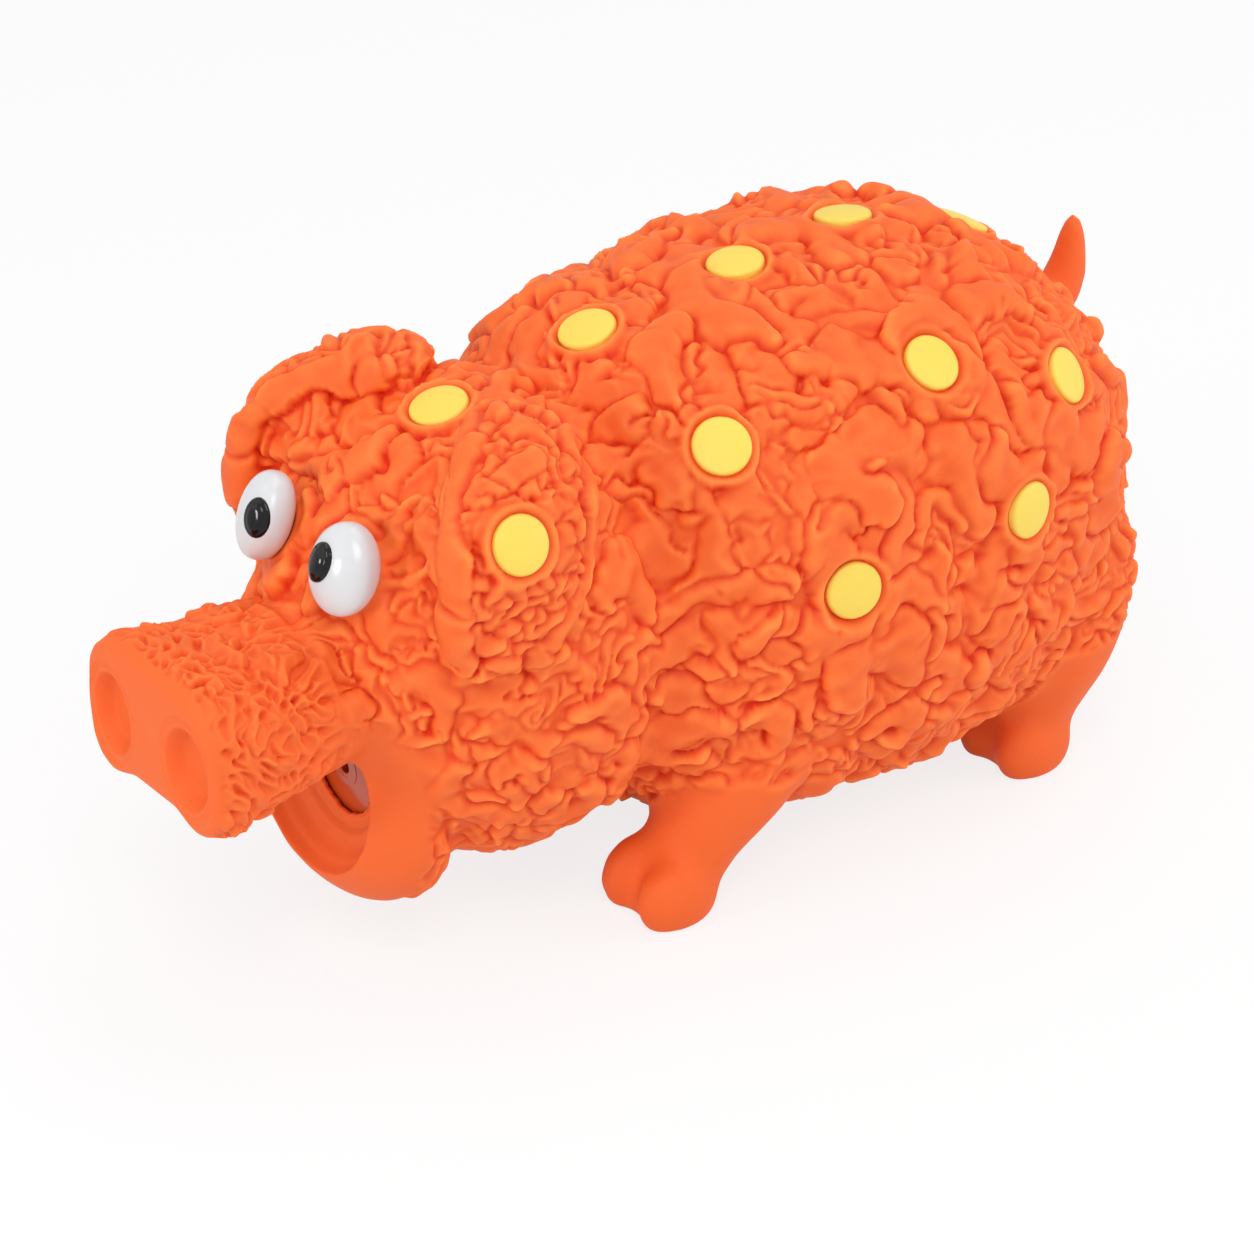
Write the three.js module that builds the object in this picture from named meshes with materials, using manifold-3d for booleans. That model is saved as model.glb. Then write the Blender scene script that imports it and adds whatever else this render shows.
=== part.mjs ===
// A latex dog toy: a fat spotted pig cast as one hollow skin, stuffed with fibre, with a squeeze grunter behind its
// open mouth. Millimetres, +Z up. The snout points along -X and the tail along +X; the left side is -Y.
import * as THREE from "three";
import { mergeVertices } from "three/addons/utils/BufferGeometryUtils.js";
import Module from "manifold-3d";

const wasm = await Module();
wasm.setup();

// Clearances and walls
const skinWall = 1.6;
const seatGap = 0.3;
const cutOverrun = 4;

// Trunk. Lengths along X are counted from the flat front of the snout.
const trunkStart = 84;
const trunkLength = 146;
const trunkHalfWidth = 54.8;
const bellyClearance = 6;
const trunkHeight = 112.8;
const foldPitch = 23;
const foldRelief = 3.2;
const foldBreaks = 6;

// Head
const headStart = 31;
const headLength = 80;
const headHalfWidth = 42;
const throatClearance = 14;
const headHeightShare = 0.8686;
const headHeight = trunkHeight * headHeightShare;

// Snout and its nostrils
const snoutLength = 52;
const snoutHalfWidth = 24;
const snoutRiseShare = 0.296;
const snoutUnderside = throatClearance + headHeight * snoutRiseShare;
const snoutHeight = 34.6;
const snoutNotchDepth = 8.5;
const snoutNotchHalfWidth = 10;
const nostrilSpacing = 26;
const nostrilHalfWidth = 6.6;
const nostrilHalfHeight = 8.4;
const nostrilDepth = 2.6;

// Lower jaw with its dished mouth and the hole in it
const jawSetback = 46.7;
const jawHalfDepth = 15;
const jawHalfWidth = 27.5;
const jawHalfHeight = 22.4;
const jawDrop = 10.3;
const jawCentreHeight = snoutUnderside - jawDrop;
const mouthDrop = 4.6;
const mouthHeight = snoutUnderside - mouthDrop;
const mouthDishRadius = 20;
const mouthDishDepth = 13;
const mouthHoleRadius = 10;
const lipRingRadii = [13.5, 17.5];
const lipRingThickness = 2.2;
const jawSeamSetback = 53;
const jawSeamHeight = mouthHeight + mouthDishRadius + skinWall;

// Ears, hanging down the sides of the head
const earRootDrop = 5;
const earRootHeight = throatClearance + headHeight - earRootDrop;
const earRootSpread = 20;
const earSetback = 61;
const earHalfWidth = 15.6;
const earHalfThickness = 7;
const earDrop = 36;
const earStandOff = 16.6;

// Legs: the haunch ends in a hem over a plain lower leg, and each hoof has two toes
const frontFootSetback = 100;
const hindFootSetback = 195;
const footSpread = 31;
const legHeight = 50;
const frontHipOffset = 24;
const hindHipOffset = 7;
const hipSpread = 35;
const hoofLength = 20;
const hoofWidth = 22;
const haunchHeight = 45;
const haunchHalfLength = 17;
const haunchHalfWidth = 14.4;
const haunchHalfHeight = 17;
const toeHalfLength = 10;
const toeHalfWidth = 5.8;
const toeHalfHeight = 9;
const toeRise = 6;
const toeReach = 1.5;
const soleCut = 0.6;

// Tail
const tailDrop = 34.8;
const tailBaseHeight = bellyClearance + trunkHeight - tailDrop;
const tailLength = 20;
const tailHalfThickness = 4.4;

// Eyes and pupils
const eyeStandOff = 6;
const eyeDrop = 21;
const eyeHeight = throatClearance + headHeight - eyeDrop;
const eyeSpacing = 26.8;
const eyeHalfWidth = 7.2;
const eyeHalfHeight = 9.1;
const eyeHalfDepth = 5;
const eyeTilt = THREE.MathUtils.degToRad(20);
const eyeToeOut = THREE.MathUtils.degToRad(18);
const pupilHalfWidth = 3;
const pupilHalfHeight = 4;
const pupilThickness = 0.8;

// Yellow spots, moulded proud of the skin
const spotRadius = 5.9;
const spotThickness = 1.2;

// Grunter: a bellows between two caps, behind the hole in the mouth
const grunterRadius = 16;
const capWall = 1.4;
const capSkirtLength = 5;
const capDomeDepth = 3;
const bellowsLength = 27;
const bellowsFoldDepth = 3.4;
const bellowsWall = 0.8;
const bellowsFolds = 4;
const ventRadius = 2.4;
const reedSeatRadius = 4;
const reedSeatLength = 11;
const reedSeatCollar = 3;
const reedBedHeight = 1.2;
const reedThickness = 0.4;
const reedHalfWidth = 2.8;
const pocketClearance = 1.2;

// Rows of rings from snout to tail: along, half width, underside, top (shares), then how square the ring is
const trunkRowShares = [
  [0, 0, 0.51, 0.51, 1],
  [0.015, 0.45, 0.27, 0.8, 1],
  [0.07, 0.71, 0.15, 0.92, 1.05],
  [0.16, 0.87, 0.06, 0.975, 1.15],
  [0.3, 0.95, 0.02, 0.98, 1.2],
  [0.45, 1, 0, 1, 1.2],
  [0.6, 0.99, 0.01, 0.995, 1.2],
  [0.74, 0.93, 0.04, 0.96, 1.15],
  [0.85, 0.8, 0.1, 0.89, 1.1],
  [0.93, 0.59, 0.2, 0.79, 1],
  [0.985, 0.33, 0.33, 0.67, 1],
  [1, 0, 0.5, 0.5, 1],
];
const headRowShares = [
  [0, 0, 0.5, 0.5, 1],
  [0.025, 0.34, 0.35, 0.64, 1],
  [0.1, 0.57, 0.24, 0.76, 1.05],
  [0.21, 0.76, 0.12, 0.87, 1.1],
  [0.35, 0.91, 0.04, 0.95, 1.1],
  [0.52, 1, 0, 1, 1.1],
  [0.68, 0.99, 0.02, 0.99, 1.1],
  [0.83, 0.87, 0.09, 0.92, 1],
  [0.95, 0.56, 0.24, 0.78, 1],
  [1, 0, 0.51, 0.51, 1],
];
const snoutRowShares = [
  [0, 0, 0.5, 0.5, 1.6],
  [0, 0.5, 0.25, 0.75, 1.6],
  [0.008, 0.88, 0.06, 0.94, 1.6],
  [0.05, 0.98, 0.01, 0.99, 1.6],
  [0.14, 1, 0, 1, 1.55],
  [0.34, 0.94, 0.06, 0.95, 1.35],
  [0.62, 0.94, 0.1, 1, 1.15],
  [0.9, 0.87, 0.2, 0.97, 1],
  [1, 0, 0.5, 0.5, 1],
];
// Rows of a leg from sole to hip: lean, splay, rise, half length, half width
const legRowShares = [
  [0, 0, 0, 0, 0],
  [0, 0, 0, 0.7, 0.78],
  [0.02, 0, 0.1, 0.96, 0.9],
  [0.2, 0.1, 0.25, 1.02, 0.92],
  [0.4, 0.3, 0.38, 1.18, 1.06],
  [0.62, 0.5, 0.54, 1.46, 1.28],
  [0.82, 0.8, 0.72, 1.6, 1.3],
  [1, 0.9, 0.92, 1.5, 1.2],
  [1, 0.9, 1, 0, 0],
];
// Rows of an ear from root to tip: setback, stand-off, drop, half width, half thickness
const earRowShares = [
  [0.32, -0.3, 0.03, 0, 0],
  [0.32, -0.2, -0.05, 0.5, 0.9],
  [0.24, 0.25, -0.06, 0.78, 1],
  [0.1, 0.7, 0.08, 1, 1],
  [0, 0.96, 0.31, 1.02, 0.95],
  [-0.06, 1, 0.62, 0.94, 0.9],
  [-0.1, 0.92, 0.86, 0.66, 0.75],
  [-0.11, 0.86, 0.96, 0, 0],
];
// Rows of the tail from root to tip: back, rise, thickness
const tailRowShares = [
  [-0.65, -0.12, 0],
  [-0.6, -0.1, 1],
  [-0.15, 0.1, 1],
  [0.05, 0.4, 0.8],
  [0.1, 0.7, 0.54],
  [0.12, 0.92, 0.3],
  [0.12, 1, 0],
];

// Spots by the form that carries them: along its rows, and turns round it from the side over the top
const spineSpotShares = [
  ["head", 0.47, 0.25],
  ["trunk", 0.14, 0.25],
  ["trunk", 0.39, 0.25],
  ["trunk", 0.6, 0.26],
  ["trunk", 0.8, 0.25],
];
const sideSpotShares = [
  ["trunk", 0.17, 0.135],
  ["trunk", 0.31, 0.03],
  ["trunk", 0.51, 0.135],
  ["trunk", 0.61, 0.04],
  ["trunk", 0.74, 0.105],
];
// Where the trunk's main folds wander: times per turn round it, and how far, by the pitch
const foldSwayShares = [
  [1, -0.35],
  [2, 0.3],
  [3, 0.26],
];
const earSpotShares = { back: -0.16, standOff: 0.8, drop: 0.17 };
// The way each pupil looks from the middle of its eye
const gazeShares = { left: [-1, 0.5, 0.5], right: [-1, -0.85, 0.5] };

const up = new THREE.Vector3(0, 0, 1);

// Rows of a table joined by a curve; crowding draws them from the ends towards the middle.
function smoothRows(rows, steps, crowding = 0) {
  const places = rows.map((_, i) => i / (rows.length - 1));
  const spline = new THREE.CubicInterpolant(places, rows.flat(), rows[0].length);
  return Array.from({ length: steps + 1 }, (_, i) => {
    const drawn = (crowding * Math.sin((i / steps) * 2 * Math.PI)) / (2 * Math.PI);
    return Array.from(spline.evaluate(i / steps + drawn));
  });
}

// Closed geometry over rings of points; the first and last ring are single points.
function skinOver(rings) {
  const sides = rings[1].length;
  const points = rings.flat();
  const faces = [];
  const first = (ring) => 1 + (ring - 1) * sides;
  const last = points.length - 1;
  for (let side = 0; side < sides; side++) {
    const next = (side + 1) % sides;
    faces.push(0, first(1) + next, first(1) + side);
    for (let ring = 1; ring < rings.length - 2; ring++) {
      const [a, b] = [first(ring) + side, first(ring) + next];
      const [c, d] = [first(ring + 1) + side, first(ring + 1) + next];
      faces.push(a, b, c, b, d, c);
    }
    faces.push(last, first(rings.length - 2) + side, first(rings.length - 2) + next);
  }
  return new THREE.BufferGeometry().setFromPoints(points).setIndex(faces);
}

const rounded = (value, square) => Math.sign(value) * Math.abs(value) ** (1 / square);

// One ring across X, from the right side over the top.
function crossRing([x, halfWidth, low, high, square], sides, notch, foldShareAt) {
  const middle = (low + high) / 2;
  return Array.from({ length: sides }, (_, i) => {
    const turn = (i / sides) * 2 * Math.PI;
    const out = 1 + foldShareAt(x, turn);
    const y = out * halfWidth * rounded(Math.cos(turn), square);
    const z = middle + out * ((high - low) / 2) * rounded(Math.sin(turn), square);
    const lift = z < middle ? notch * Math.exp(-((y / snoutNotchHalfWidth) ** 2)) : 0;
    return new THREE.Vector3(x, y, z + lift);
  });
}

const none = () => 0;

// A form from rows across X: notchAt lifts its underside and foldShareAt swells it, by its half size there.
function crossLoft(rowShares, size, [steps, sides], { notchAt = none, foldShareAt = none, crowding = 0 } = {}) {
  const { start, length, halfWidth, low, height } = size;
  const rows = smoothRows(rowShares, steps, crowding).map(([along, wide, under, top, square]) => [
    start + along * length,
    Math.max(wide, 0) * halfWidth,
    low + under * height,
    low + top * height,
    square,
  ]);
  const rings = rows.map((row, i) =>
    i === 0 || i === steps
      ? [new THREE.Vector3(row[0], 0, (row[2] + row[3]) / 2)]
      : crossRing(row, sides, notchAt(row[0]), foldShareAt),
  );
  return skinOver(rings);
}

// A soft limb: rings of half sizes across and through a path, with the across direction fixed.
function sweep(rows, across, sides, steps) {
  const smooth = smoothRows(rows, steps);
  const centres = smooth.map(([x, y, z]) => new THREE.Vector3(x, y, z));
  const rings = smooth.map(([, , , halfAcross, halfThrough], i) => {
    if (i === 0 || i === steps) return [centres[i]];
    const along = centres[i + 1].clone().sub(centres[i - 1]);
    const through = along.cross(across).normalize();
    return Array.from({ length: sides }, (_, side) => {
      const turn = (side / sides) * 2 * Math.PI;
      return centres[i]
        .clone()
        .addScaledVector(across, halfAcross * Math.cos(turn))
        .addScaledVector(through, halfThrough * Math.sin(turn));
    });
  });
  return skinOver(rings);
}

function egg([x, y, z], [halfX, halfY, halfZ], [sides, rows], pitch = 0, yaw = 0) {
  return new THREE.SphereGeometry(1, sides, rows)
    .scale(halfX, halfY, halfZ)
    .rotateY(pitch)
    .rotateZ(yaw)
    .translate(x, y, z);
}

function welded(geometry) {
  const bare = geometry.clone();
  bare.deleteAttribute("normal");
  bare.deleteAttribute("uv");
  return mergeVertices(bare, 1e-4);
}

// The same surface moved outwards along its normals, or inwards.
function grown(geometry, distance) {
  const moved = welded(geometry);
  moved.computeVertexNormals();
  const { position, normal } = moved.attributes;
  for (let i = 0; i < position.count; i++) {
    const point = new THREE.Vector3().fromBufferAttribute(position, i);
    point.addScaledVector(new THREE.Vector3().fromBufferAttribute(normal, i), distance);
    position.setXYZ(i, point.x, point.y, point.z);
  }
  moved.deleteAttribute("normal");
  return moved;
}

function solid(geometry) {
  const shape = welded(geometry);
  const vertProperties = new Float32Array(shape.attributes.position.array);
  const triVerts = new Uint32Array(shape.index.array);
  const made = new wasm.Manifold(new wasm.Mesh({ numProp: 3, vertProperties, triVerts }));
  if (made.volume() > 0) return made;
  for (let i = 0; i < triVerts.length; i += 3) [triVerts[i], triVerts[i + 1]] = [triVerts[i + 1], triVerts[i]];
  return new wasm.Manifold(new wasm.Mesh({ numProp: 3, vertProperties, triVerts }));
}

const joined = (solids) => solids.reduce((all, next) => all.add(next));
const cutBy = (shape, cuts) => cuts.reduce((left, cut) => left.subtract(cut), shape);

function geometryOf(made) {
  const mesh = made.getMesh();
  const points = new Float32Array(mesh.vertProperties);
  return new THREE.BufferGeometry()
    .setAttribute("position", new THREE.BufferAttribute(points, 3))
    .setIndex(new THREE.BufferAttribute(new Uint32Array(mesh.triVerts), 1))
    .toNonIndexed();
}

// Round things on the grunter's axis, which runs along X from the mouth
function turned(profile, sides) {
  const points = profile.map(([back, radius]) => new THREE.Vector2(Math.max(radius, 0), back));
  return new THREE.LatheGeometry(points, sides).rotateZ(-Math.PI / 2).translate(0, 0, mouthHeight);
}

const rod = (from, to, radius) => [
  [from, 0],
  [from, radius],
  [to, radius],
  [to, 0],
];

const box = ([x0, x1], [y0, y1], [z0, z1]) =>
  new THREE.BoxGeometry(x1 - x0, y1 - y0, z1 - z0).translate((x0 + x1) / 2, (y0 + y1) / 2, (z0 + z1) / 2);

// The forms that the skin is cast over
const trunkSize = {
  start: trunkStart,
  length: trunkLength,
  halfWidth: trunkHalfWidth,
  low: bellyClearance,
  height: trunkHeight,
};
const headSize = {
  start: headStart,
  length: headLength,
  halfWidth: headHalfWidth,
  low: throatClearance,
  height: headHeight,
};
const snoutSize = {
  start: 0,
  length: snoutLength,
  halfWidth: snoutHalfWidth,
  low: snoutUnderside,
  height: snoutHeight,
};
const snoutNotch = (x) => snoutNotchDepth * Math.exp(-((x / (snoutLength / 4)) ** 2));

// Steps along and sides round each form, outside and inside
const trunkDetail = [26, 24];
const trunkCrowding = 0.4;
const headDetail = [18, 22];
const snoutDetail = [12, 18];
const jawDetail = [18, 10];
const limbDetail = [11, 10];
const insideDetail = [10, 12];

// The trunk's main folds run round it, wander as they go and break into short lobes.
function trunkFoldShare(x, turn) {
  const sway = foldSwayShares.reduce((sum, [times, share]) => sum + share * Math.sin(times * turn), 0);
  const part = 2 * Math.PI * ((x - trunkStart) / foldPitch + sway);
  const lobe = Math.sin(part) * Math.cos(foldBreaks * turn + part / foldBreaks);
  return (((1 + lobe) / 2) * foldRelief) / trunkHalfWidth;
}

const trunkForm = () =>
  crossLoft(trunkRowShares, trunkSize, trunkDetail, { foldShareAt: trunkFoldShare, crowding: trunkCrowding });
const plainTrunkForm = (detail) => crossLoft(trunkRowShares, trunkSize, detail);
const headForm = (detail = headDetail) => crossLoft(headRowShares, headSize, detail);
const snoutForm = (detail = snoutDetail) =>
  crossLoft(snoutRowShares, snoutSize, detail, { notchAt: snoutNotch });
const jawForm = (detail = jawDetail) =>
  egg([jawSetback, 0, jawCentreHeight], [jawHalfDepth, jawHalfWidth, jawHalfHeight], detail);

const acrossX = new THREE.Vector3(1, 0, 0);
const acrossY = new THREE.Vector3(0, 1, 0);

function legForm({ setback, lean, side }, detail = limbDetail) {
  const rows = legRowShares.map(([leaning, splay, rise, long, wide]) => [
    setback + leaning * lean,
    side * (footSpread + splay * (hipSpread - footSpread)),
    rise * legHeight - soleCut,
    (long * hoofLength) / 2,
    (wide * hoofWidth) / 2,
  ]);
  return sweep(rows, acrossX, ...detail);
}

function haunchForm({ setback, lean, side }, detail = [12, 8]) {
  const centre = [setback + lean, side * hipSpread, haunchHeight];
  return egg(centre, [haunchHalfLength, haunchHalfWidth, haunchHalfHeight], detail);
}

function toeForms({ setback, side }) {
  return [-1, 1].map((toe) => {
    const centre = [setback - toeReach, side * footSpread + toe * toeHalfWidth, toeRise];
    return egg(centre, [toeHalfLength, toeHalfWidth, toeHalfHeight], [10, 7]);
  });
}

function earForm(side) {
  const rows = earRowShares.map(([back, standOff, drop, wide, thick]) => [
    earSetback + back * earHalfWidth * 2,
    side * (earRootSpread + standOff * earStandOff),
    earRootHeight - drop * earDrop,
    wide * earHalfWidth,
    thick * earHalfThickness,
  ]);
  return sweep(rows, acrossX, 14, 14);
}

function tailForm() {
  const root = trunkStart + trunkLength;
  const rows = tailRowShares.map(([back, rise, thick]) => [
    root + back * tailLength,
    0,
    tailBaseHeight + rise * tailLength,
    thick * tailHalfThickness,
    thick * tailHalfThickness,
  ]);
  return sweep(rows, acrossY, 10, 10);
}

const sides = { left: -1, right: 1 };
const legs = Object.entries(sides).flatMap(([name, side]) => [
  { name: `front_leg_${name}`, setback: frontFootSetback, lean: frontHipOffset, side },
  { name: `hind_leg_${name}`, setback: hindFootSetback, lean: hindHipOffset, side },
]);

// The dish in the lower jaw, with raised rings round the hole
const mouthFront = jawSetback - jawHalfDepth;

function mouthDish(grow) {
  const radius = mouthDishRadius + grow;
  return solid(egg([mouthFront, 0, mouthHeight], [mouthDishDepth + grow, radius, radius], [20, 12]));
}

const dishDepthAt = (radius) => mouthDishDepth * Math.sqrt(1 - (radius / mouthDishRadius) ** 2);

function lipRings() {
  return lipRingRadii.map((radius) =>
    solid(
      new THREE.TorusGeometry(radius, lipRingThickness / 2, 5, 20)
        .rotateY(Math.PI / 2)
        .translate(mouthFront + dishDepthAt(radius), 0, mouthHeight),
    ),
  );
}

function nostrils(grow) {
  const halves = [nostrilDepth, nostrilHalfWidth, nostrilHalfHeight].map((half) => half + grow);
  const height = snoutUnderside + snoutHeight / 2;
  return Object.values(sides).map((side) => solid(egg([0, (side * nostrilSpacing) / 2, height], halves, [14, 8])));
}

function mouthHole() {
  return solid(turned(rod(mouthFront - mouthDishRadius, grunterFront + cutOverrun, mouthHoleRadius), 24));
}

// Everything below the soles, and everything below a height inside a leg
function floorBlock(height) {
  const reach = trunkLength * 3;
  return solid(box([-reach, reach], [-reach, reach], [-cutOverrun, height]));
}

// Where the skin's inner face lies, moved in by the wall and any further gap
const inside = (form, gap) => solid(grown(form, -(skinWall + gap)));
const outside = (form, gap) => solid(grown(form, gap));
const trunkInside = (gap) => inside(plainTrunkForm(insideDetail), gap);
const headInside = (gap) =>
  cutBy(joined([headForm(insideDetail), snoutForm([8, 12]), jawForm([12, 8])].map((form) => inside(form, gap))), [
    mouthDish(skinWall + gap),
    ...nostrils(skinWall + gap),
  ]);
const legInside = (leg, gap) =>
  joined([inside(legForm(leg, [10, 8]), gap), inside(haunchForm(leg, [10, 8]), gap)]).subtract(
    floorBlock(skinWall + gap),
  );

// The skin is one casting. Its sections meet at the neck, the hips and the roots of the ears and tail.
function bodySkin() {
  const openings = [trunkInside(0), headInside(0), ...legs.map((leg) => legInside(leg, 0))];
  return cutBy(solid(trunkForm()), openings);
}

function wholeHeadSkin() {
  const face = joined([solid(headForm()), solid(jawForm())]).subtract(mouthDish(0));
  const shape = joined([face, ...lipRings()]);
  return cutBy(shape, [headInside(0), outside(trunkForm(), seatGap), mouthHole()]);
}

function jawZone(gap) {
  const reach = trunkLength;
  return solid(box([-reach, jawSeamSetback + gap], [-reach, reach], [-reach, jawSeamHeight + gap]));
}

const jawSkin = () => wholeHeadSkin().intersect(jawZone(0));
const headSkin = () => wholeHeadSkin().subtract(jawZone(seatGap));

function snoutSkin() {
  const head = [outside(headForm(), seatGap), outside(jawForm(), seatGap)];
  return cutBy(solid(snoutForm()), [headInside(0), ...head, ...nostrils(0)]);
}

function legSkin(leg) {
  const shape = joined([legForm(leg), haunchForm(leg), ...toeForms(leg)].map(solid));
  return cutBy(shape, [legInside(leg, 0), outside(trunkForm(), seatGap), floorBlock(0)]);
}

const earSkin = (side) =>
  cutBy(solid(earForm(side)), [outside(headForm(), seatGap), outside(trunkForm(), seatGap)]);
const tailSkin = () => cutBy(solid(tailForm()), [outside(trunkForm(), seatGap)]);

// Fibre fills the skin, but for the pocket round the grunter
function headStuffing() {
  const rear = grunterRear + pocketClearance;
  const pocket = solid(turned(rod(mouthFront, rear, grunterRadius + pocketClearance), 24));
  return cutBy(headInside(seatGap), [trunkInside(0), pocket]);
}

const bodyStuffing = () => joined([trunkInside(seatGap), ...legs.map((leg) => legInside(leg, seatGap))]);

// A disc that follows the surface that carries it
function disc(carrier, { place, normal }, halfWidth, halfHeight, thickness) {
  const shell = outside(carrier, seatGap + thickness).subtract(outside(carrier, seatGap));
  const reach = thickness + seatGap + Math.max(halfWidth, halfHeight);
  const turn = new THREE.Quaternion().setFromUnitVectors(up, normal);
  const cutter = new THREE.CylinderGeometry(1, 1, 2 * reach, 14)
    .rotateX(Math.PI / 2)
    .scale(halfWidth, halfHeight, 1)
    .applyQuaternion(turn)
    .translate(place.x, place.y, place.z);
  return shell.intersect(solid(cutter));
}

// Where a ray from inside leaves a form, and the way that face looks
function surfaceAt(form, from, direction) {
  const material = new THREE.MeshBasicMaterial({ side: THREE.DoubleSide });
  const caster = new THREE.Raycaster(from, direction.clone().normalize());
  const hit = caster.intersectObject(new THREE.Mesh(form, material))[0];
  const normal = hit.face.normal.clone();
  return { place: hit.point, normal: normal.dot(direction) < 0 ? normal.negate() : normal };
}

const carriers = {
  trunk: { form: trunkForm(), size: trunkSize },
  head: { form: headForm(), size: headSize },
};

function bodySpot([carrier, along, turns], side) {
  const { form, size } = carriers[carrier];
  const from = new THREE.Vector3(size.start + along * size.length, 0, size.low + size.height / 2);
  const turn = turns * 2 * Math.PI;
  const direction = new THREE.Vector3(0, side * Math.cos(turn), Math.sin(turn));
  return disc(form, surfaceAt(form, from, direction), spotRadius, spotRadius, spotThickness);
}

function earSpot(side) {
  const form = earForm(side);
  const standOff = earRootSpread + earStandOff * earSpotShares.standOff;
  const height = earRootHeight - earDrop * earSpotShares.drop;
  const from = new THREE.Vector3(earSetback + earHalfWidth * earSpotShares.back, side * standOff, height);
  const seat = surfaceAt(form, from, new THREE.Vector3(0, side, 0));
  return disc(form, seat, spotRadius, spotRadius, spotThickness);
}

// Each eye's middle stands off the head, in front of a place inside it
function eyeCentre(side) {
  const from = new THREE.Vector3(headStart + headLength / 2, (side * eyeSpacing) / 2, eyeHeight);
  const { place } = surfaceAt(headForm(), from, new THREE.Vector3(-1, 0, 0));
  return place.setX(place.x - eyeStandOff);
}

const eyeForm = (side) =>
  egg(
    eyeCentre(side).toArray(),
    [eyeHalfDepth, eyeHalfWidth, eyeHalfHeight],
    [16, 10],
    eyeTilt,
    -side * eyeToeOut,
  );
const eye = (side) =>
  cutBy(solid(eyeForm(side)), [outside(headForm(), seatGap), outside(snoutForm(), seatGap)]);

function pupil(name, side) {
  const form = eyeForm(side);
  const seat = surfaceAt(form, eyeCentre(side), new THREE.Vector3(...gazeShares[name]));
  return disc(form, seat, pupilHalfWidth, pupilHalfHeight, pupilThickness);
}

const domeRadiusShares = [0.45, 0.65, 0.85, 1];

// The front cap rests on the rim of the mouth hole, inside the skin.
const domeRise = (radius) => capDomeDepth * (1 - Math.sqrt(1 - (radius / grunterRadius) ** 2));
const grunterFront =
  mouthFront + dishDepthAt(mouthHoleRadius) + skinWall + seatGap - domeRise(mouthHoleRadius);
const capSeat = grunterFront + capDomeDepth;
const capBack = capSeat + capWall;
const bellowsStart = capBack + seatGap;
const bellowsEnd = bellowsStart + bellowsLength;
const rearCapFace = bellowsEnd + seatGap;
const grunterRear = rearCapFace + capWall;
const capInnerRadius = grunterRadius - capWall;
const reedSeatBore = reedSeatRadius + seatGap;

function frontCap() {
  const domeRadii = [reedSeatBore, ...domeRadiusShares.map((share) => share * grunterRadius)];
  const skirtEnd = capSeat + capSkirtLength;
  const profile = [
    ...domeRadii.map((radius) => [grunterFront + domeRise(radius), radius]),
    [skirtEnd, grunterRadius],
    [skirtEnd, capInnerRadius],
    [capBack, capInnerRadius],
    [capBack, reedSeatBore],
  ];
  return solid(turned([...profile, profile[0]], 24));
}

function bellows() {
  const collar = capInnerRadius - seatGap;
  const foldsStart = capSeat + capSkirtLength + seatGap;
  const foldsEnd = rearCapFace + capWall - capSkirtLength - seatGap;
  const pitch = (foldsEnd - foldsStart) / bellowsFolds;
  const folds = Array.from({ length: bellowsFolds }, (_, fold) => [
    [foldsStart + pitch * (fold + 0.5), grunterRadius],
    [foldsStart + pitch * (fold + 1), grunterRadius - bellowsFoldDepth],
  ]).flat();
  const line = [
    [bellowsStart, collar],
    [foldsStart - seatGap, collar],
    [foldsStart, grunterRadius - bellowsFoldDepth],
    ...folds,
    [foldsEnd + seatGap, collar],
    [bellowsEnd, collar],
  ];
  const lining = line.map(([back, radius]) => [back, radius - bellowsWall]).reverse();
  return solid(turned([...line, ...lining, line[0]], 18));
}

function rearCap() {
  const skirtStart = rearCapFace + capWall - capSkirtLength;
  const profile = [
    [rearCapFace, 0],
    [rearCapFace, capInnerRadius],
    [skirtStart, capInnerRadius],
    [skirtStart, grunterRadius],
    [grunterRear - capWall / 2, grunterRadius],
    [grunterRear, capInnerRadius],
    [grunterRear, 0],
  ];
  return solid(turned(profile, 24));
}

// A tube in the front cap, cut open along its top for the reed to lie over
function reedSeat() {
  const front = grunterFront + domeRise(reedSeatRadius);
  const rear = capBack + reedSeatLength;
  const tube = solid(turned(rod(front, rear, reedSeatRadius), 20));
  const bore = solid(turned(rod(front - cutOverrun, rear - capWall, ventRadius), 16));
  const bed = box(
    [capBack + reedSeatCollar, rear + cutOverrun],
    [-grunterRadius, grunterRadius],
    [mouthHeight + reedBedHeight, mouthHeight + grunterRadius],
  );
  return cutBy(tube, [bore, solid(bed)]);
}

function reedTongue() {
  const bed = mouthHeight + reedBedHeight + seatGap;
  return solid(
    box(
      [capBack + reedSeatCollar + seatGap, capBack + reedSeatLength],
      [-reedHalfWidth, reedHalfWidth],
      [bed, bed + reedThickness],
    ),
  );
}

const skinMaterial = { color: 0xf8622c, roughness: 0.62, metalness: 0 };
const spotMaterial = { color: 0xf5d64a, roughness: 0.55, metalness: 0 };
const eyeMaterial = { color: 0xf4f4f4, roughness: 0.15, metalness: 0 };
const pupilMaterial = { color: 0x0c0c0e, roughness: 0.12, metalness: 0 };
const fibreMaterial = { color: 0xf2f0ea, roughness: 0.95, metalness: 0 };
const plasticMaterial = { color: 0xf3e9e2, roughness: 0.3, metalness: 0 };
const reedMaterial = { color: 0xb08a4a, roughness: 0.35, metalness: 0.8 };

const pig = new THREE.Group();

function addPiece(name, shape, material) {
  const mesh = new THREE.Mesh(geometryOf(shape), new THREE.MeshStandardMaterial(material));
  mesh.name = name;
  pig.add(mesh);
}

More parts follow.
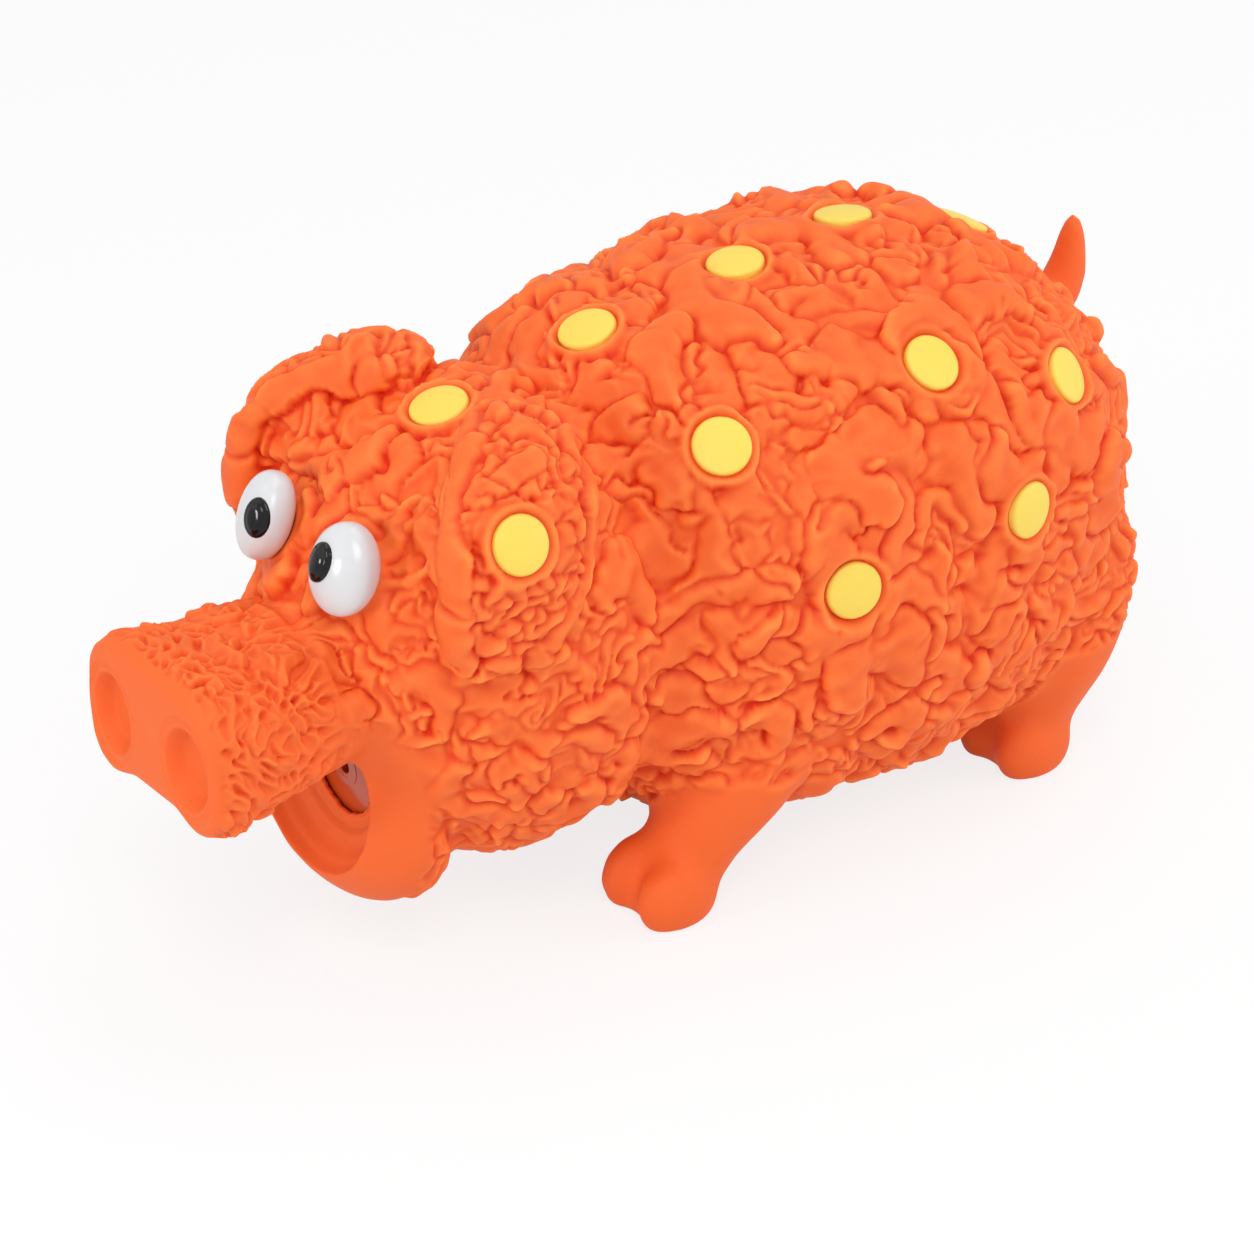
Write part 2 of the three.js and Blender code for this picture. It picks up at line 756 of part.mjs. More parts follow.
addPiece("body_skin", bodySkin(), skinMaterial);
addPiece("head_skin", headSkin(), skinMaterial);
addPiece("jaw_skin", jawSkin(), skinMaterial);
addPiece("snout_skin", snoutSkin(), skinMaterial);
addPiece("tail_skin", tailSkin(), skinMaterial);
legs.forEach((leg) => addPiece(`${leg.name}_skin`, legSkin(leg), skinMaterial));
addPiece("head_stuffing", headStuffing(), fibreMaterial);
addPiece("body_stuffing", bodyStuffing(), fibreMaterial);
for (const [name, side] of Object.entries(sides)) {
  addPiece(`ear_${name}_skin`, earSkin(side), skinMaterial);
  addPiece(`ear_${name}_spot`, earSpot(side), spotMaterial);
  addPiece(`eye_${name}`, eye(side), eyeMaterial);
  addPiece(`pupil_${name}`, pupil(name, side), pupilMaterial);
  sideSpotShares.forEach((shares, i) =>
    addPiece(`side_spot_${name}_${i + 1}`, bodySpot(shares, side), spotMaterial),
  );
}
spineSpotShares.forEach((shares, i) =>
  addPiece(`spine_spot_${i + 1}`, bodySpot(shares, sides.left), spotMaterial),
);
addPiece("grunter_front_cap", frontCap(), plasticMaterial);
addPiece("grunter_bellows", bellows(), plasticMaterial);
addPiece("grunter_rear_cap", rearCap(), plasticMaterial);
addPiece("reed_seat", reedSeat(), plasticMaterial);
addPiece("reed_tongue", reedTongue(), reedMaterial);

// The origin is on the floor under the middle of the toy.
const extent = new THREE.Box3().setFromObject(pig);
pig.children.forEach((mesh) => mesh.geometry.translate(-(extent.min.x + extent.max.x) / 2, 0, 0));

export default pig;
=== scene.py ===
# Dresses the latex dog toy: wrinkled skin, eyes, spots, fibre and grunter, with its floor, lights and camera
import math

import bpy
import numpy as np
from mathutils import Matrix, Vector
from mathutils.bvhtree import BVHTree


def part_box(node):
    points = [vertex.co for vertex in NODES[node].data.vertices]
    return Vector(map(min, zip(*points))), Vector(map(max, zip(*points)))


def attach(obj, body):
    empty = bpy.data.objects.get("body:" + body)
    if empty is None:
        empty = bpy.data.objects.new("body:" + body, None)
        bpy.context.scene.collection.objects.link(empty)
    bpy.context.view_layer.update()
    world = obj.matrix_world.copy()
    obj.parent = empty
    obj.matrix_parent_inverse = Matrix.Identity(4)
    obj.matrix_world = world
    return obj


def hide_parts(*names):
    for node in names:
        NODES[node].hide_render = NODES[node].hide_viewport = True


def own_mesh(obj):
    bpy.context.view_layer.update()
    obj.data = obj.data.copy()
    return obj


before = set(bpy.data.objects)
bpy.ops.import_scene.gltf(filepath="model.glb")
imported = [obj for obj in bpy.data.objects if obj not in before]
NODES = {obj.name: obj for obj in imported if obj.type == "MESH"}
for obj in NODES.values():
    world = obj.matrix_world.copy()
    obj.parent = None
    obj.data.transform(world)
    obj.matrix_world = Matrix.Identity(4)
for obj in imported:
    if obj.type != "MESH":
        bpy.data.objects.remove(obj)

bl_info = {
    "name": "Latex Dog Toy",
    "version": (1, 0, 0),
    "blender": (4, 5, 0),
    "location": "View3D > Sidebar > Latex Toy",
    "description": "Models the skin, eyes, spots, filling and grunter of a wrinkled latex dog toy",
    "category": "Object",
}

LEGS = [f"{end}_leg_{side}_skin" for end in ("front", "hind") for side in ("left", "right")]
EARS = ["ear_left_skin", "ear_right_skin"]
SKINS = ["body_skin", "head_skin", "jaw_skin", "snout_skin", "tail_skin", *LEGS, *EARS]
FILLINGS = ["head_stuffing", "body_stuffing"]
SPOTS = sorted(name for name in NODES if "_spot" in name)


# Settings that a user would change

def linear(*screen):
    """A scene linear colour from screen values."""
    return tuple(((v / 255 + 0.055) / 1.055) ** 2.4 if v > 10 else v / 255 / 12.92 for v in screen)


def number(name, description, default, **limits):
    return bpy.props.FloatProperty(name=name, description=description, default=default, **limits)


def length(name, description, default):
    return number(name, description, default, min=0, precision=4, subtype="DISTANCE", unit="LENGTH")


def factor(name, description, default, most=2.0):
    return number(name, description, default, min=0, max=most)


def angle(name, description, degrees):
    return number(name, description, math.radians(degrees), subtype="ANGLE", unit="ROTATION")


def colour(name, description, *screen):
    return bpy.props.FloatVectorProperty(
        name=name, description=description, default=linear(*screen), min=0, max=1, size=3, subtype="COLOR"
    )


class TOY_PG_skin(bpy.types.PropertyGroup):
    """Sizes and colours of the latex skin."""

    cell: length("Mesh size", "Edge length of the base mesh, before it is refined", 0.001)
    relief: factor("Fold relief", "How much of their modelled height the folds have", 1.2)
    fold_size: factor("Fold size", "How large the folds are", 1.0)
    front_hem: length("Front hem", "Height at which the folds end on the front legs", 0.031)
    hind_hem: length("Hind hem", "Height at which the folds end on the hind legs", 0.033)
    # Painted light: the latex is one orange; the ridge colour is that orange with painted highlight, and the
    # crease colour is it with painted shade.
    ridge_highlight: colour("Ridges", "Colour of the latex on the ridges", 255, 136, 62)
    crease: colour("Creases", "Colour of the latex in the creases", 216, 46, 4)


class TOY_PG_spots(bpy.types.PropertyGroup):
    """Sizes and colour of the spots."""

    radius: length("Radius", "Half the width of a spot", 0.0059)
    crown: length("Crown", "How far a spot's middle swells out", 0.0004)
    sink: length("Sink", "How deep a spot sits in the skin", 0.0012)
    colour: colour("Colour", "Colour of the spots", 238, 208, 84)


class TOY_PG_eyes(bpy.types.PropertyGroup):
    """Sizes and colours of the eyes."""

    pupil_width: length("Pupil width", "Half the width of a pupil", 0.003)
    pupil_height: length("Pupil height", "Half the height of a pupil", 0.004)
    white: colour("White", "Colour of the eyes", 212, 214, 216)
    black: colour("Pupils", "Colour of the pupils", 8, 8, 10)


class TOY_PG_filling(bpy.types.PropertyGroup):
    """Looseness and colour of the fibre."""

    gap: length("Gap", "How far the fibre stays back from the skin", 0.0019)
    colour: colour("Colour", "Colour of the fibre", 237, 234, 227)


class TOY_PG_grunter(bpy.types.PropertyGroup):
    """Sizes of the grunter, the painted shade on its plastic and the colour of its reed."""

    bore: length("Bore", "Radius of the hole in the front cap", 0.0015)
    dome: length("Dome", "How far the front cap swells out", 0.003)
    # Painted shade: the grunter is off-white plastic in the CAD model, and this brown-orange stands in for
    # the shade and orange bounce light inside the mouth.
    plastic: colour("Plastic", "Colour of the caps, the bellows and the reed's seat", 190, 72, 18)
    brass: colour("Brass", "Colour of the reed's tongue", 224, 196, 137)


class TOY_PG_stage(bpy.types.PropertyGroup):
    """The lights and the camera."""

    lamps: factor("Lamps", "How strong the lamps are", 1.0)
    surround: factor("Surround", "How strong the even light from all sides is", 0.5, 1.0)
    distance: length("Camera distance", "From the camera to the middle of the toy", 0.92)
    azimuth: angle("Azimuth", "How far round the toy the camera stands", -37.5)
    elevation: angle("Elevation", "How high above the floor the camera looks from", 29)


# Plain helpers for meshes

def go_to(mode):
    bpy.ops.object.mode_set(mode=mode)


def edit_all():
    """Goes to edit mode with everything selected."""
    go_to("EDIT")
    bpy.ops.mesh.select_all(action="SELECT")


def deselect():
    if bpy.context.object and bpy.context.object.mode != "OBJECT":
        go_to("OBJECT")
    bpy.ops.object.select_all(action="DESELECT")


def choose(*objects):
    deselect()
    for piece in objects:
        piece.select_set(True)
    bpy.context.view_layer.objects.active = objects[0]


def add(title, mesh):
    """A new object in the scene."""
    piece = bpy.data.objects.new(title, mesh)
    bpy.context.scene.collection.objects.link(piece)
    return piece


def copy_of(names, title):
    """One new object from merged copies of CAD nodes."""
    copies = []
    for name in names:
        mesh = NODES[name].data.copy()
        mesh.materials.clear()
        copies.append(add(title, mesh))
    choose(*copies)
    edit_all()
    bpy.ops.mesh.remove_doubles(threshold=0.00001)
    go_to("OBJECT")
    if len(copies) > 1:
        bpy.ops.object.join()
    return bpy.context.object


def ball(segments, rings):
    """A ball with a radius of 1 mm."""
    deselect()
    bpy.ops.mesh.primitive_uv_sphere_add(segments=segments, ring_count=rings, radius=0.001)
    return bpy.context.object


def apply(piece, kind, **settings):
    choose(piece)
    modifier = piece.modifiers.new(kind.title(), kind)
    for key, value in settings.items():
        setattr(modifier, key, value)
    bpy.ops.object.modifier_apply(modifier=modifier.name)


def read(items, title, width=1, kind=np.float32):
    """One property of all items, as an array with a row for each."""
    flat = np.empty(len(items) * width, kind)
    items.foreach_get(title, flat)
    return flat.reshape(-1, width) if width > 1 else flat


def points_of(mesh):
    """Vertex places in millimetres."""
    return read(mesh.vertices, "co", 3).astype(float) * 1000


def normals_of(mesh):
    return read(mesh.vertex_normals, "vector", 3).astype(float)


def edges_of(mesh):
    return read(mesh.edges, "vertices", 2, np.int32)


def move_points(mesh, points):
    mesh.vertices.foreach_set("co", (points / 1000).astype(np.float32).ravel())
    mesh.update()


def set_values(mesh, title, values):
    layer = mesh.attributes.get(title) or mesh.attributes.new(title, "FLOAT", "POINT")
    layer.data.foreach_set("value", values.astype(np.float32))


def values_of(mesh, title):
    return read(mesh.attributes[title].data, "value").astype(float)


def spread(values, edges, rounds, share=0.6):
    """Evens values out along the edges of a mesh."""
    start, end = edges[:, 0], edges[:, 1]
    count = len(values)
    near = np.maximum(np.bincount(start, minlength=count) + np.bincount(end, minlength=count), 1)
    table = values.reshape(count, -1).astype(float)
    share = np.broadcast_to(np.asarray(share, float), (count,))[:, None]
    for _ in range(rounds):
        mean = np.empty_like(table)
        for column in range(table.shape[1]):
            lane = table[:, column]
            mean[:, column] = np.bincount(start, lane[end], count) + np.bincount(end, lane[start], count)
        mean /= near[:, None]
        table += share * (mean - table)
    return table.reshape(values.shape)


def ramp(value, low, high):
    """Rises smoothly from 0 at low to 1 at high."""
    part = np.clip((value - low) / (high - low), 0, 1)
    return part * part * (3 - 2 * part)


def bell(value, middle, width):
    """1 in the middle and falling off smoothly to both sides."""
    return np.exp(-(((value - middle) / width) ** 2))


def surface_tree(piece):
    """A search tree over a mesh, in millimetres."""
    mesh = piece.data
    corners = [vertex.co * 1000 for vertex in mesh.vertices]
    return BVHTree.FromPolygons(corners, [tuple(face.vertices) for face in mesh.polygons])


def distances(tree, points, reach):
    far = np.full(len(points), reach)
    for index, point in enumerate(points):
        hit = tree.find_nearest(Vector(point), reach)
        if hit[0] is not None:
            far[index] = hit[3]
    return far


def facing_inwards(tree, points, normals, reach):
    """1 for the points that lie near a mesh and face it."""
    marks = np.zeros(len(points))
    for index, point in enumerate(points):
        place = tree.find_nearest(Vector(point), reach)[0]
        if place is not None and (place - Vector(point)).dot(Vector(normals[index])) > 0:
            marks[index] = 1
    return marks


WAVES = 14


def noise_at(points, size, seed):
    """Smooth noise about 0 with features of a given size, as a sum of waves in seeded directions."""
    draw = np.random.default_rng(seed)
    total = np.zeros(len(points))
    for _ in range(WAVES):
        way = draw.normal(size=3)
        way *= draw.uniform(0.6, 1.4) * 2 * math.pi / (size * np.linalg.norm(way))
        total += np.sin(points @ way + draw.uniform(0, 2 * math.pi))
    return total / math.sqrt(WAVES)


# Folds of the latex

BARE = -9.0
ANY_WAY = np.zeros(3)


def uncovered(height):
    """Where no lobe has raised the height above its start."""
    return height < BARE + 1


class Folds:
    """Heights and sideways shifts of bent, overlapping lobes over a surface."""

    def __init__(self, points, normals, group, tree):
        wobble = np.array([
            1.5 * noise_at(points, 17, seed) + 0.45 * noise_at(points, 6, seed + 3) for seed in (21, 22, 23)
        ]).T
        outwards = (wobble * normals).sum(1)[:, None]
        warped = points + wobble - normals * outwards
        self.order = np.argsort(warped[:, 0])
        self.points = warped[self.order]
        self.normals = normals[self.order]
        self.group = group[self.order]
        self.along = np.ascontiguousarray(self.points[:, 0])
        self.tree = tree
        count = len(points)
        self.height = np.full(count, BARE)
        self.second = np.full(count, BARE)
        self.press = np.zeros(count)
        self.shift = np.zeros((count, 3))
        draw = np.random.default_rng(5)
        self.flow = [(draw.normal(size=3) / 34, draw.uniform(0, 6)) for _ in range(3)]
        self.soft = 0.1 + 1.1 * ramp(noise_at(self.points, 14, 8), -0.1, 1.4)

    def near(self, low, high, groups):
        first, last = np.searchsorted(self.along, [low[0], high[0]])
        part = self.points[first:last]
        keep = (part[:, 1] > low[1]) & (part[:, 1] < high[1]) & (part[:, 2] > low[2]) & (part[:, 2] < high[2])
        found = first + np.nonzero(keep)[0]
        return found[np.isin(self.group[found], groups)]

    def path(self, place, normal, way, length, step, bend, twist):
        """Points of a bent line that stays on the surface, to both sides of its middle."""
        halves = []
        for turn in (-1, 1):
            at, face = Vector(place), Vector(normal)
            ahead = (Vector(way) * turn).normalized()
            line = []
            for count in range(max(1, round(length / 2 / step))):
                turning = turn * bend + twist * (count + 0.5) * step / length * 2
                ahead = Matrix.Rotation(turning * step, 3, face) @ ahead
                hit = self.tree.find_nearest(at + ahead * step)
                at, face = hit[0], hit[1]
                ahead = (ahead - face * ahead.dot(face)).normalized()
                line.append(tuple(at))
            halves.append(line)
        return np.array(halves[0][::-1] + [tuple(place)] + halves[1])

    def measure(self, line, width, groups, normal):
        """Points near a line that face the normal's way, with distance, share along it, side and way out."""
        found = self.near(line.min(0) - width, line.max(0) + width, groups)
        found = found[self.normals[found] @ normal > -0.2]
        if not len(found):
            return None
        start, run = line[:-1], np.diff(line, axis=0)
        square = np.maximum((run**2).sum(1), 1e-9)
        off = self.points[found][:, None, :] - start[None]
        part = np.clip((off * run[None]).sum(2) / square[None], 0, 1)
        out = off - part[:, :, None] * run[None]
        gap = np.sqrt((out**2).sum(2))
        pick = gap.argmin(1)
        rows = np.arange(len(found))
        way = run[pick] / np.sqrt(square[pick])[:, None]
        across = np.cross(self.normals[found], way)
        out = out[rows, pick]
        side = (out * across).sum(1)
        return found, gap[rows, pick], (pick + part[rows, pick]) / len(run), side, out

    def lobe(self, line, width, tall, base, tilt, groups, normal, wave=0.0, flat=2.2, taper=0.5):
        """Lays one lobe: where it is higher than what is there, it covers it."""
        seen = self.measure(line, width * 1.25, groups, normal)
        if seen is None:
            return
        found, gap, share, side, out = seen
        local = width * (1 - taper * np.abs(2 * share - 1) ** 2.6)
        local *= 1 + 0.2 * np.sin(2 * math.pi * share * 1.4 + wave)
        part = gap / local
        keep = part < 1
        found, part, side, out, gap, local, share = (
            item[keep] for item in (found, part, side, out, gap, local, share)
        )
        if not len(found):
            return
        high = base + tall * (1 - part**flat) ** 0.75 + tilt[0] * tall * side / local
        high += tilt[1] * tall * (share - 0.5) * 2
        old = self.height[found]
        won = high > old
        soft = self.soft[found]
        close = np.clip(1 - np.abs(high - old) / soft, 0, 1)
        self.press[found] *= 1 - np.clip((high - old) / 0.8, 0, 1)
        self.second[found] = np.maximum(self.second[found], np.minimum(high, old))
        self.height[found] = np.maximum(high, old) + soft * close**2 / 4
        push = out / np.maximum(gap, 0.05)[:, None] * (part**5 * tall * 0.25)[:, None]
        self.shift[found[won]] = push[won]

    def dent(self, line, width, deep, groups, normal, edge=1.4):
        """Presses a crease in that runs out along its line."""
        seen = self.measure(line, width * 2.5, groups, normal)
        if seen is None:
            return
        found, gap, share, _, _ = seen
        depth = deep * np.clip(1.15 * (1 - share), 0, 1) ** 0.8 * np.exp(-((gap / width) ** edge))
        self.press[found] = np.maximum(self.press[found], depth)

    def pinch(self, line, width, tall, groups, normal, draw):
        """Short creases from the edge of a lobe towards its middle."""
        for _ in range(draw.integers(0, 3)):
            index = draw.integers(1, max(2, len(line) - 1))
            run = Vector(line[index] - line[index - 1])
            across = Vector(normal).cross(run).normalized() * draw.choice([-1, 1])
            across += run.normalized() * draw.uniform(-0.7, 0.7)
            middle = Vector(line[index])
            reach = [draw.uniform(0.9, 1.05), 0.6, draw.uniform(0.05, 0.35)]
            points = [tuple(self.tree.find_nearest(middle + across * width * part)[0]) for part in reach]
            half = draw.uniform(0.45, 0.8)
            self.dent(np.array(points), half, tall * draw.uniform(0.35, 0.6), groups, normal)

    def begin(self, groups, seed, inside):
        """A seeded draw, and the points of the groups that lie inside."""
        return np.random.default_rng(seed), np.nonzero(np.isin(self.group, groups) & inside)[0]

    def pits(self, groups, seed, inside, count):
        """Presses teardrop pits in, apart from each other."""
        draw, wanted = self.begin(groups, seed, inside)
        for index in draw.choice(wanted, count):
            if self.press[index] > 0.1:
                continue
            place, normal, way = self.start(index, draw, 0.9)
            bend = draw.uniform(-0.25, 0.25)
            line = self.path(place, normal, way, draw.uniform(1.6, 5), 0.6, bend, bend)
            self.dent(line, draw.uniform(0.85, 1.25), draw.uniform(0.9, 1.5), groups, normal, 2.2)

    def start(self, index, draw, steady=0.5):
        """Place, normal and way to go at a point."""
        place, normal, _, _ = self.tree.find_nearest(Vector(self.points[index]))
        place, normal = np.array(place), np.array(normal)
        flow = np.array([math.sin(place @ v + k) for v, k in self.flow])
        return place, normal, np.cross(normal, flow + draw.normal(size=3) * steady)

    def cover(self, groups, seed, size, inside, steps, tall=(0.36, 0.52)):
        """Lays lobes of the sizes that size(place) gives, in steps of (share covered, scale)."""
        draw, wanted = self.begin(groups, seed, inside)
        for full, scale in steps:
            for _ in range(600):
                bare = wanted[uncovered(self.height[wanted])]
                if len(bare) < (1 - full) * len(wanted):
                    break
                for index in draw.choice(bare, min(8, len(bare)), replace=False):
                    if not uncovered(self.height[index]):
                        continue
                    place, normal, way = self.start(index, draw)
                    narrow, wide, short, long = size(place)
                    width = draw.uniform(narrow, wide) * scale
                    length = draw.uniform(short, long) * scale
                    bend = draw.choice([-1, 1]) * draw.uniform(0.35, 1) ** 1.5 * 5 / length
                    twist = bend * draw.uniform(-2.2, 0.6)
                    line = self.path(place, normal, way, length, max(0.8, width * 0.4), bend, twist)
                    high = min(width * draw.uniform(*tall), 3.2)
                    self.lobe(
                        line, width, high, draw.uniform(0, 0.9), draw.uniform(-0.5, 0.5, 2), groups, normal,
                        draw.uniform(0, 6), draw.uniform(1.6, 2.4),
                    )
                    if width > 1.6:
                        self.pinch(line, width, high, groups, normal, draw)

    def scatter(self, groups, seed, size, inside, count):
        """Lays thin ridges over what is there."""
        draw, wanted = self.begin(groups, seed, inside)
        for index in draw.choice(wanted, count):
            place, normal, way = self.start(index, draw, 1.0)
            narrow, wide, short, long = size(place)
            width, length = draw.uniform(narrow, wide), draw.uniform(short, long)
            bend = draw.uniform(-1, 1) * 5 / length
            line = self.path(place, normal, way, length, 1.0, bend, bend * draw.uniform(-2, 1))
            base = self.height[index] - width * draw.uniform(0.1, 0.6)
            tall = width * draw.uniform(0.5, 0.8)
            self.lobe(line, width, tall, base, (0, 0), groups, normal, draw.uniform(0, 6))


# Where the toy's parts lie, in millimetres

BODY = [value * 1000 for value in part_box("body_skin")]
HEAD = [value * 1000 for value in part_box("head_skin")]
JAW = [value * 1000 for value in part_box("jaw_skin")]
SNOUT = [value * 1000 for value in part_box("snout_skin")]
CAP = [value * 1000 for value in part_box("grunter_front_cap")]
MOUTH = Vector((JAW[0].x + 1.6, 0, (CAP[0].z + CAP[1].z) / 2))
BODY_MIDDLE = (BODY[0].x + BODY[1].x) / 2

# Height of the line along the toy's middle that spots and pupils face away from
CORE_HEIGHT = 60

# How far the skins swell so that they meet, as they lie apart in the CAD model
SEAM_FILL = 0.35

# The latex between ear and forehead
EAR_ROOT_CENTRE = (-60, 24, 94)
EAR_ROOT_HALVES = (9, 13, 13)

# The mouth's dish, the hole in its middle and the ripples between
DISH_RADIUS = 20
DISH_DEPTH = 13
HOLE_RADIUS = 10
RIPPLE_RADII = (13.5, 17.5)
RIPPLE_HEIGHT = 0.9
RIPPLE_WIDTH = 1.25

# The nostrils, whose middle lies this far under the snout's top and to each side of its middle
NOSTRIL_DROP = 17.3
NOSTRIL_SIDE = 13
NOSTRIL_HALVES = (6.8, 8.9)
NOSTRIL_DEPTH = 3.3

# The eyes: centre of the right one, half sizes and turns as in the CAD model, and how blunt their fronts are
EYE_CENTRE = (-80.05, 13.4, 90.97)
EYE_HALVES = (5.0, 7.2, 9.1)
EYE_TILT = math.radians(20)
EYE_TOE_OUT = math.radians(18)
EYE_BLUNTNESS = 0.82

# How much further out the left pupil sits than the CAD model's
LEFT_PUPIL_SHIFT = 0.7

# The rounded edge of spots and pupils
PAD_ROUNDING = 0.8

# The front cap's wall
CAP_WALL = 1.4


def pad(name):
    """Centre, outward normal, two axes and two half sizes of a spot or pupil of the CAD model."""
    points = points_of(NODES[name].data)
    centre = (points.max(0) + points.min(0)) / 2
    wide, long, normal = np.linalg.svd(points - points.mean(0), full_matrices=False)[2]
    if normal @ (centre - np.array([centre[0], 0, CORE_HEIGHT])) < 0:
        normal = -normal
    halves = [np.ptp((points - centre) @ way) / 2 for way in (wide, long)]
    return centre, normal, (wide, long), halves


# Base form of the skin

def ear_root(side):
    """The folded latex between an ear and the forehead."""
    root = ball(32, 20)
    move_points(root.data, points_of(root.data) * EAR_ROOT_HALVES + mirrored(EAR_ROOT_CENTRE, side))
    return root


def base_skin(cell):
    """The CAD skins as one hollow casting."""
    parts = []
    for name in SKINS:
        part = copy_of([name], "latex_skin")
        move_points(part.data, points_of(part.data) + normals_of(part.data) * SEAM_FILL)
        parts.append(part)
    parts += [ear_root(-1), ear_root(1)]
    choose(*parts)
    bpy.ops.object.join()
    skin = bpy.context.object
    apply(skin, "REMESH", mode="VOXEL", voxel_size=cell, adaptivity=0.0)
    return skin


def mark_regions(skin):
    """Marks which points lie on the inner wall, and on the ears, snout, legs and tail."""
    mesh = skin.data
    points, edges = points_of(mesh), edges_of(mesh)
    filling = copy_of(FILLINGS, "filling")
    move_points(filling.data, points_of(filling.data) - normals_of(filling.data) * 2 * SEAM_FILL)
    tree = surface_tree(filling)
    bpy.data.objects.remove(filling)
    set_values(mesh, "inner", facing_inwards(tree, points, normals_of(mesh), 2.2))
    for title, names in (("ear", EARS), ("snout", ["snout_skin"]), ("leg", LEGS), ("tail", ["tail_skin"])):
        mark = np.zeros(len(points))
        for name in names:
            low, high = (np.array(corner) * 1000 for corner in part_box(name))
            near = np.all((points > low - 1) & (points < high + 1), axis=1)
            part = copy_of([name], "part")
            tree = surface_tree(part)
            bpy.data.objects.remove(part)
            where = np.nonzero(near)[0]
            mark[where[distances(tree, points[where], 0.9) < 0.8]] = 1
        set_values(mesh, title, spread(mark, edges, 2))


def smooth_form(skin):
    """Takes the facets out and keeps the size."""
    mesh = skin.data
    points, edges = points_of(mesh), edges_of(mesh)
    from_mouth = np.hypot(points[:, 1], points[:, 2] - MOUTH.z)
    dish = (from_mouth < DISH_RADIUS + 1) & (points[:, 0] > JAW[0].x - 2) & (points[:, 0] < JAW[1].x)
    foot = values_of(mesh, "leg") * (1 - ramp(points[:, 2], 10, 24))
    snout = values_of(mesh, "snout")
    tail = values_of(mesh, "tail")
    share = 0.62 * (1 - 0.75 * foot) * (1 - 0.8 * snout) * (1 - 0.8 * tail) * np.where(dish, 0.12, 1)
    share = spread(share, edges, 3)
    once = spread(points, edges, 40, share)
    left = points - once
    again = once + spread(left, edges, 40, share)
    move_points(mesh, again)


def shape_dish(points, normals):
    """The mouth's even dish with its two ripples."""
    from_mouth = np.hypot(points[:, 1], points[:, 2] - MOUTH.z)
    facing = (normals[:, 0] < -0.25) & (from_mouth < DISH_RADIUS - 0.6) & (from_mouth > HOLE_RADIUS - 1.5)
    facing &= (points[:, 0] > JAW[0].x - 2) & (points[:, 0] < JAW[0].x + 18)
    deep = DISH_DEPTH * np.sqrt(np.clip(1 - (from_mouth / DISH_RADIUS) ** 2, 0, 1))
    ripple = sum(RIPPLE_HEIGHT * bell(from_mouth, ring, RIPPLE_WIDTH) for ring in RIPPLE_RADII)
    target = MOUTH.x + deep - ripple
    blend = ramp(from_mouth, DISH_RADIUS - 0.6, DISH_RADIUS - 2.2)
    points[facing, 0] += (blend * (target - points[:, 0]))[facing]
    return points


def snout_reach(points):
    """How far out each point lies on the snout's end: 0 in its middle and 1 at its outline."""
    y, z = points[:, 1], points[:, 2] - (SNOUT[1].z - NOSTRIL_DROP)
    return (np.abs(y / SNOUT[1].y) ** 3.2 + np.abs(z / NOSTRIL_DROP) ** 3.2) ** (1 / 3.2)


def shape_nostrils(points, normals):
    """Two even oval dents in the flat end of the snout."""
    y, z = points[:, 1], points[:, 2] - (SNOUT[1].z - NOSTRIL_DROP)
    reach = snout_reach(points)
    face = SNOUT[0].x + 0.2 + 0.7 * np.clip(reach / 0.85, 0, 1.2) ** 4
    lip = 2.6 * bell(y, 0, 9) - 12.8
    for side in (-1, 1):
        part = np.sqrt(((y - side * NOSTRIL_SIDE) / NOSTRIL_HALVES[0]) ** 2 + (z / NOSTRIL_HALVES[1]) ** 2)
        slope = 1 - ramp(part, 0.62, 1.0)
        target = face + NOSTRIL_DEPTH * slope - 0.35 * bell(part, 1.06, 0.1)
        blend = (1 - ramp(part, 1.15, 1.3)) * (1 - ramp(reach, 0.84, 0.92)) * ramp(z - lip, 0.4, 2)
        near = (points[:, 0] < SNOUT[0].x + 6.5) & (normals[:, 0] < -0.1) & (part < 1.3)
        points[near, 0] += (blend * (target - points[:, 0]))[near]
    return points


def refine(skin, keep):
    """Cuts each face into four, but for those at a point to keep."""
    mesh = skin.data
    choose(skin)
    corner = read(mesh.loops, "vertex_index", kind=np.int32)
    first = read(mesh.polygons, "loop_start", kind=np.int32)
    wall = np.maximum.reduceat(keep[corner], first) > 0.5
    for items in (mesh.vertices, mesh.edges, mesh.polygons):
        items.foreach_set("select", np.zeros(len(items), bool))
    mesh.polygons.foreach_set("select", ~wall)
    go_to("EDIT")
    bpy.ops.mesh.select_mode(type="FACE")
    bpy.ops.mesh.subdivide(number_cuts=1, smoothness=0, quadcorner="INNERVERT")
    go_to("OBJECT")


def lobe_size(place):
    """Least and most half width and length of a lobe, in millimetres."""
    x, _, z = place
    if x < HEAD[1].x - 6:
        return 3.0, 6.0, 10, 28
    if z < 46 or x > BODY[1].x - 34:
        return 2.8, 5.4, 9, 26
    if x < BODY[0].x + 32:
        return 3.0, 5.8, 10, 28
    return 4.2, 8.0, 14, 38


def around(pads, points, normals):
    """How far each point lies outside the nearest pad, in millimetres, where it faces the same way."""
    gap = np.full(len(points), 99.0)
    for centre, normal, axes, halves in pads:
        off = points - centre
        close = (np.abs(off).max(1) < 24) & (np.abs(off @ normal) < 11)
        near = np.nonzero(close & (normals @ normal > 0.1))[0]
        part = np.sqrt(sum(((off[near] @ way) / half) ** 2 for way, half in zip(axes, halves)))
        gap[near] = np.minimum(gap[near], (part - 1) * min(halves))
    return gap


def mirrored(place, side):
    """A place given for the right side, on the side asked for: 1 is right and -1 is left."""
    return np.array([place[0], side * place[1], place[2]])


def eye_turn(side):
    return Matrix.Rotation(-side * EYE_TOE_OUT, 3, "Z") @ Matrix.Rotation(EYE_TILT, 3, "Y")


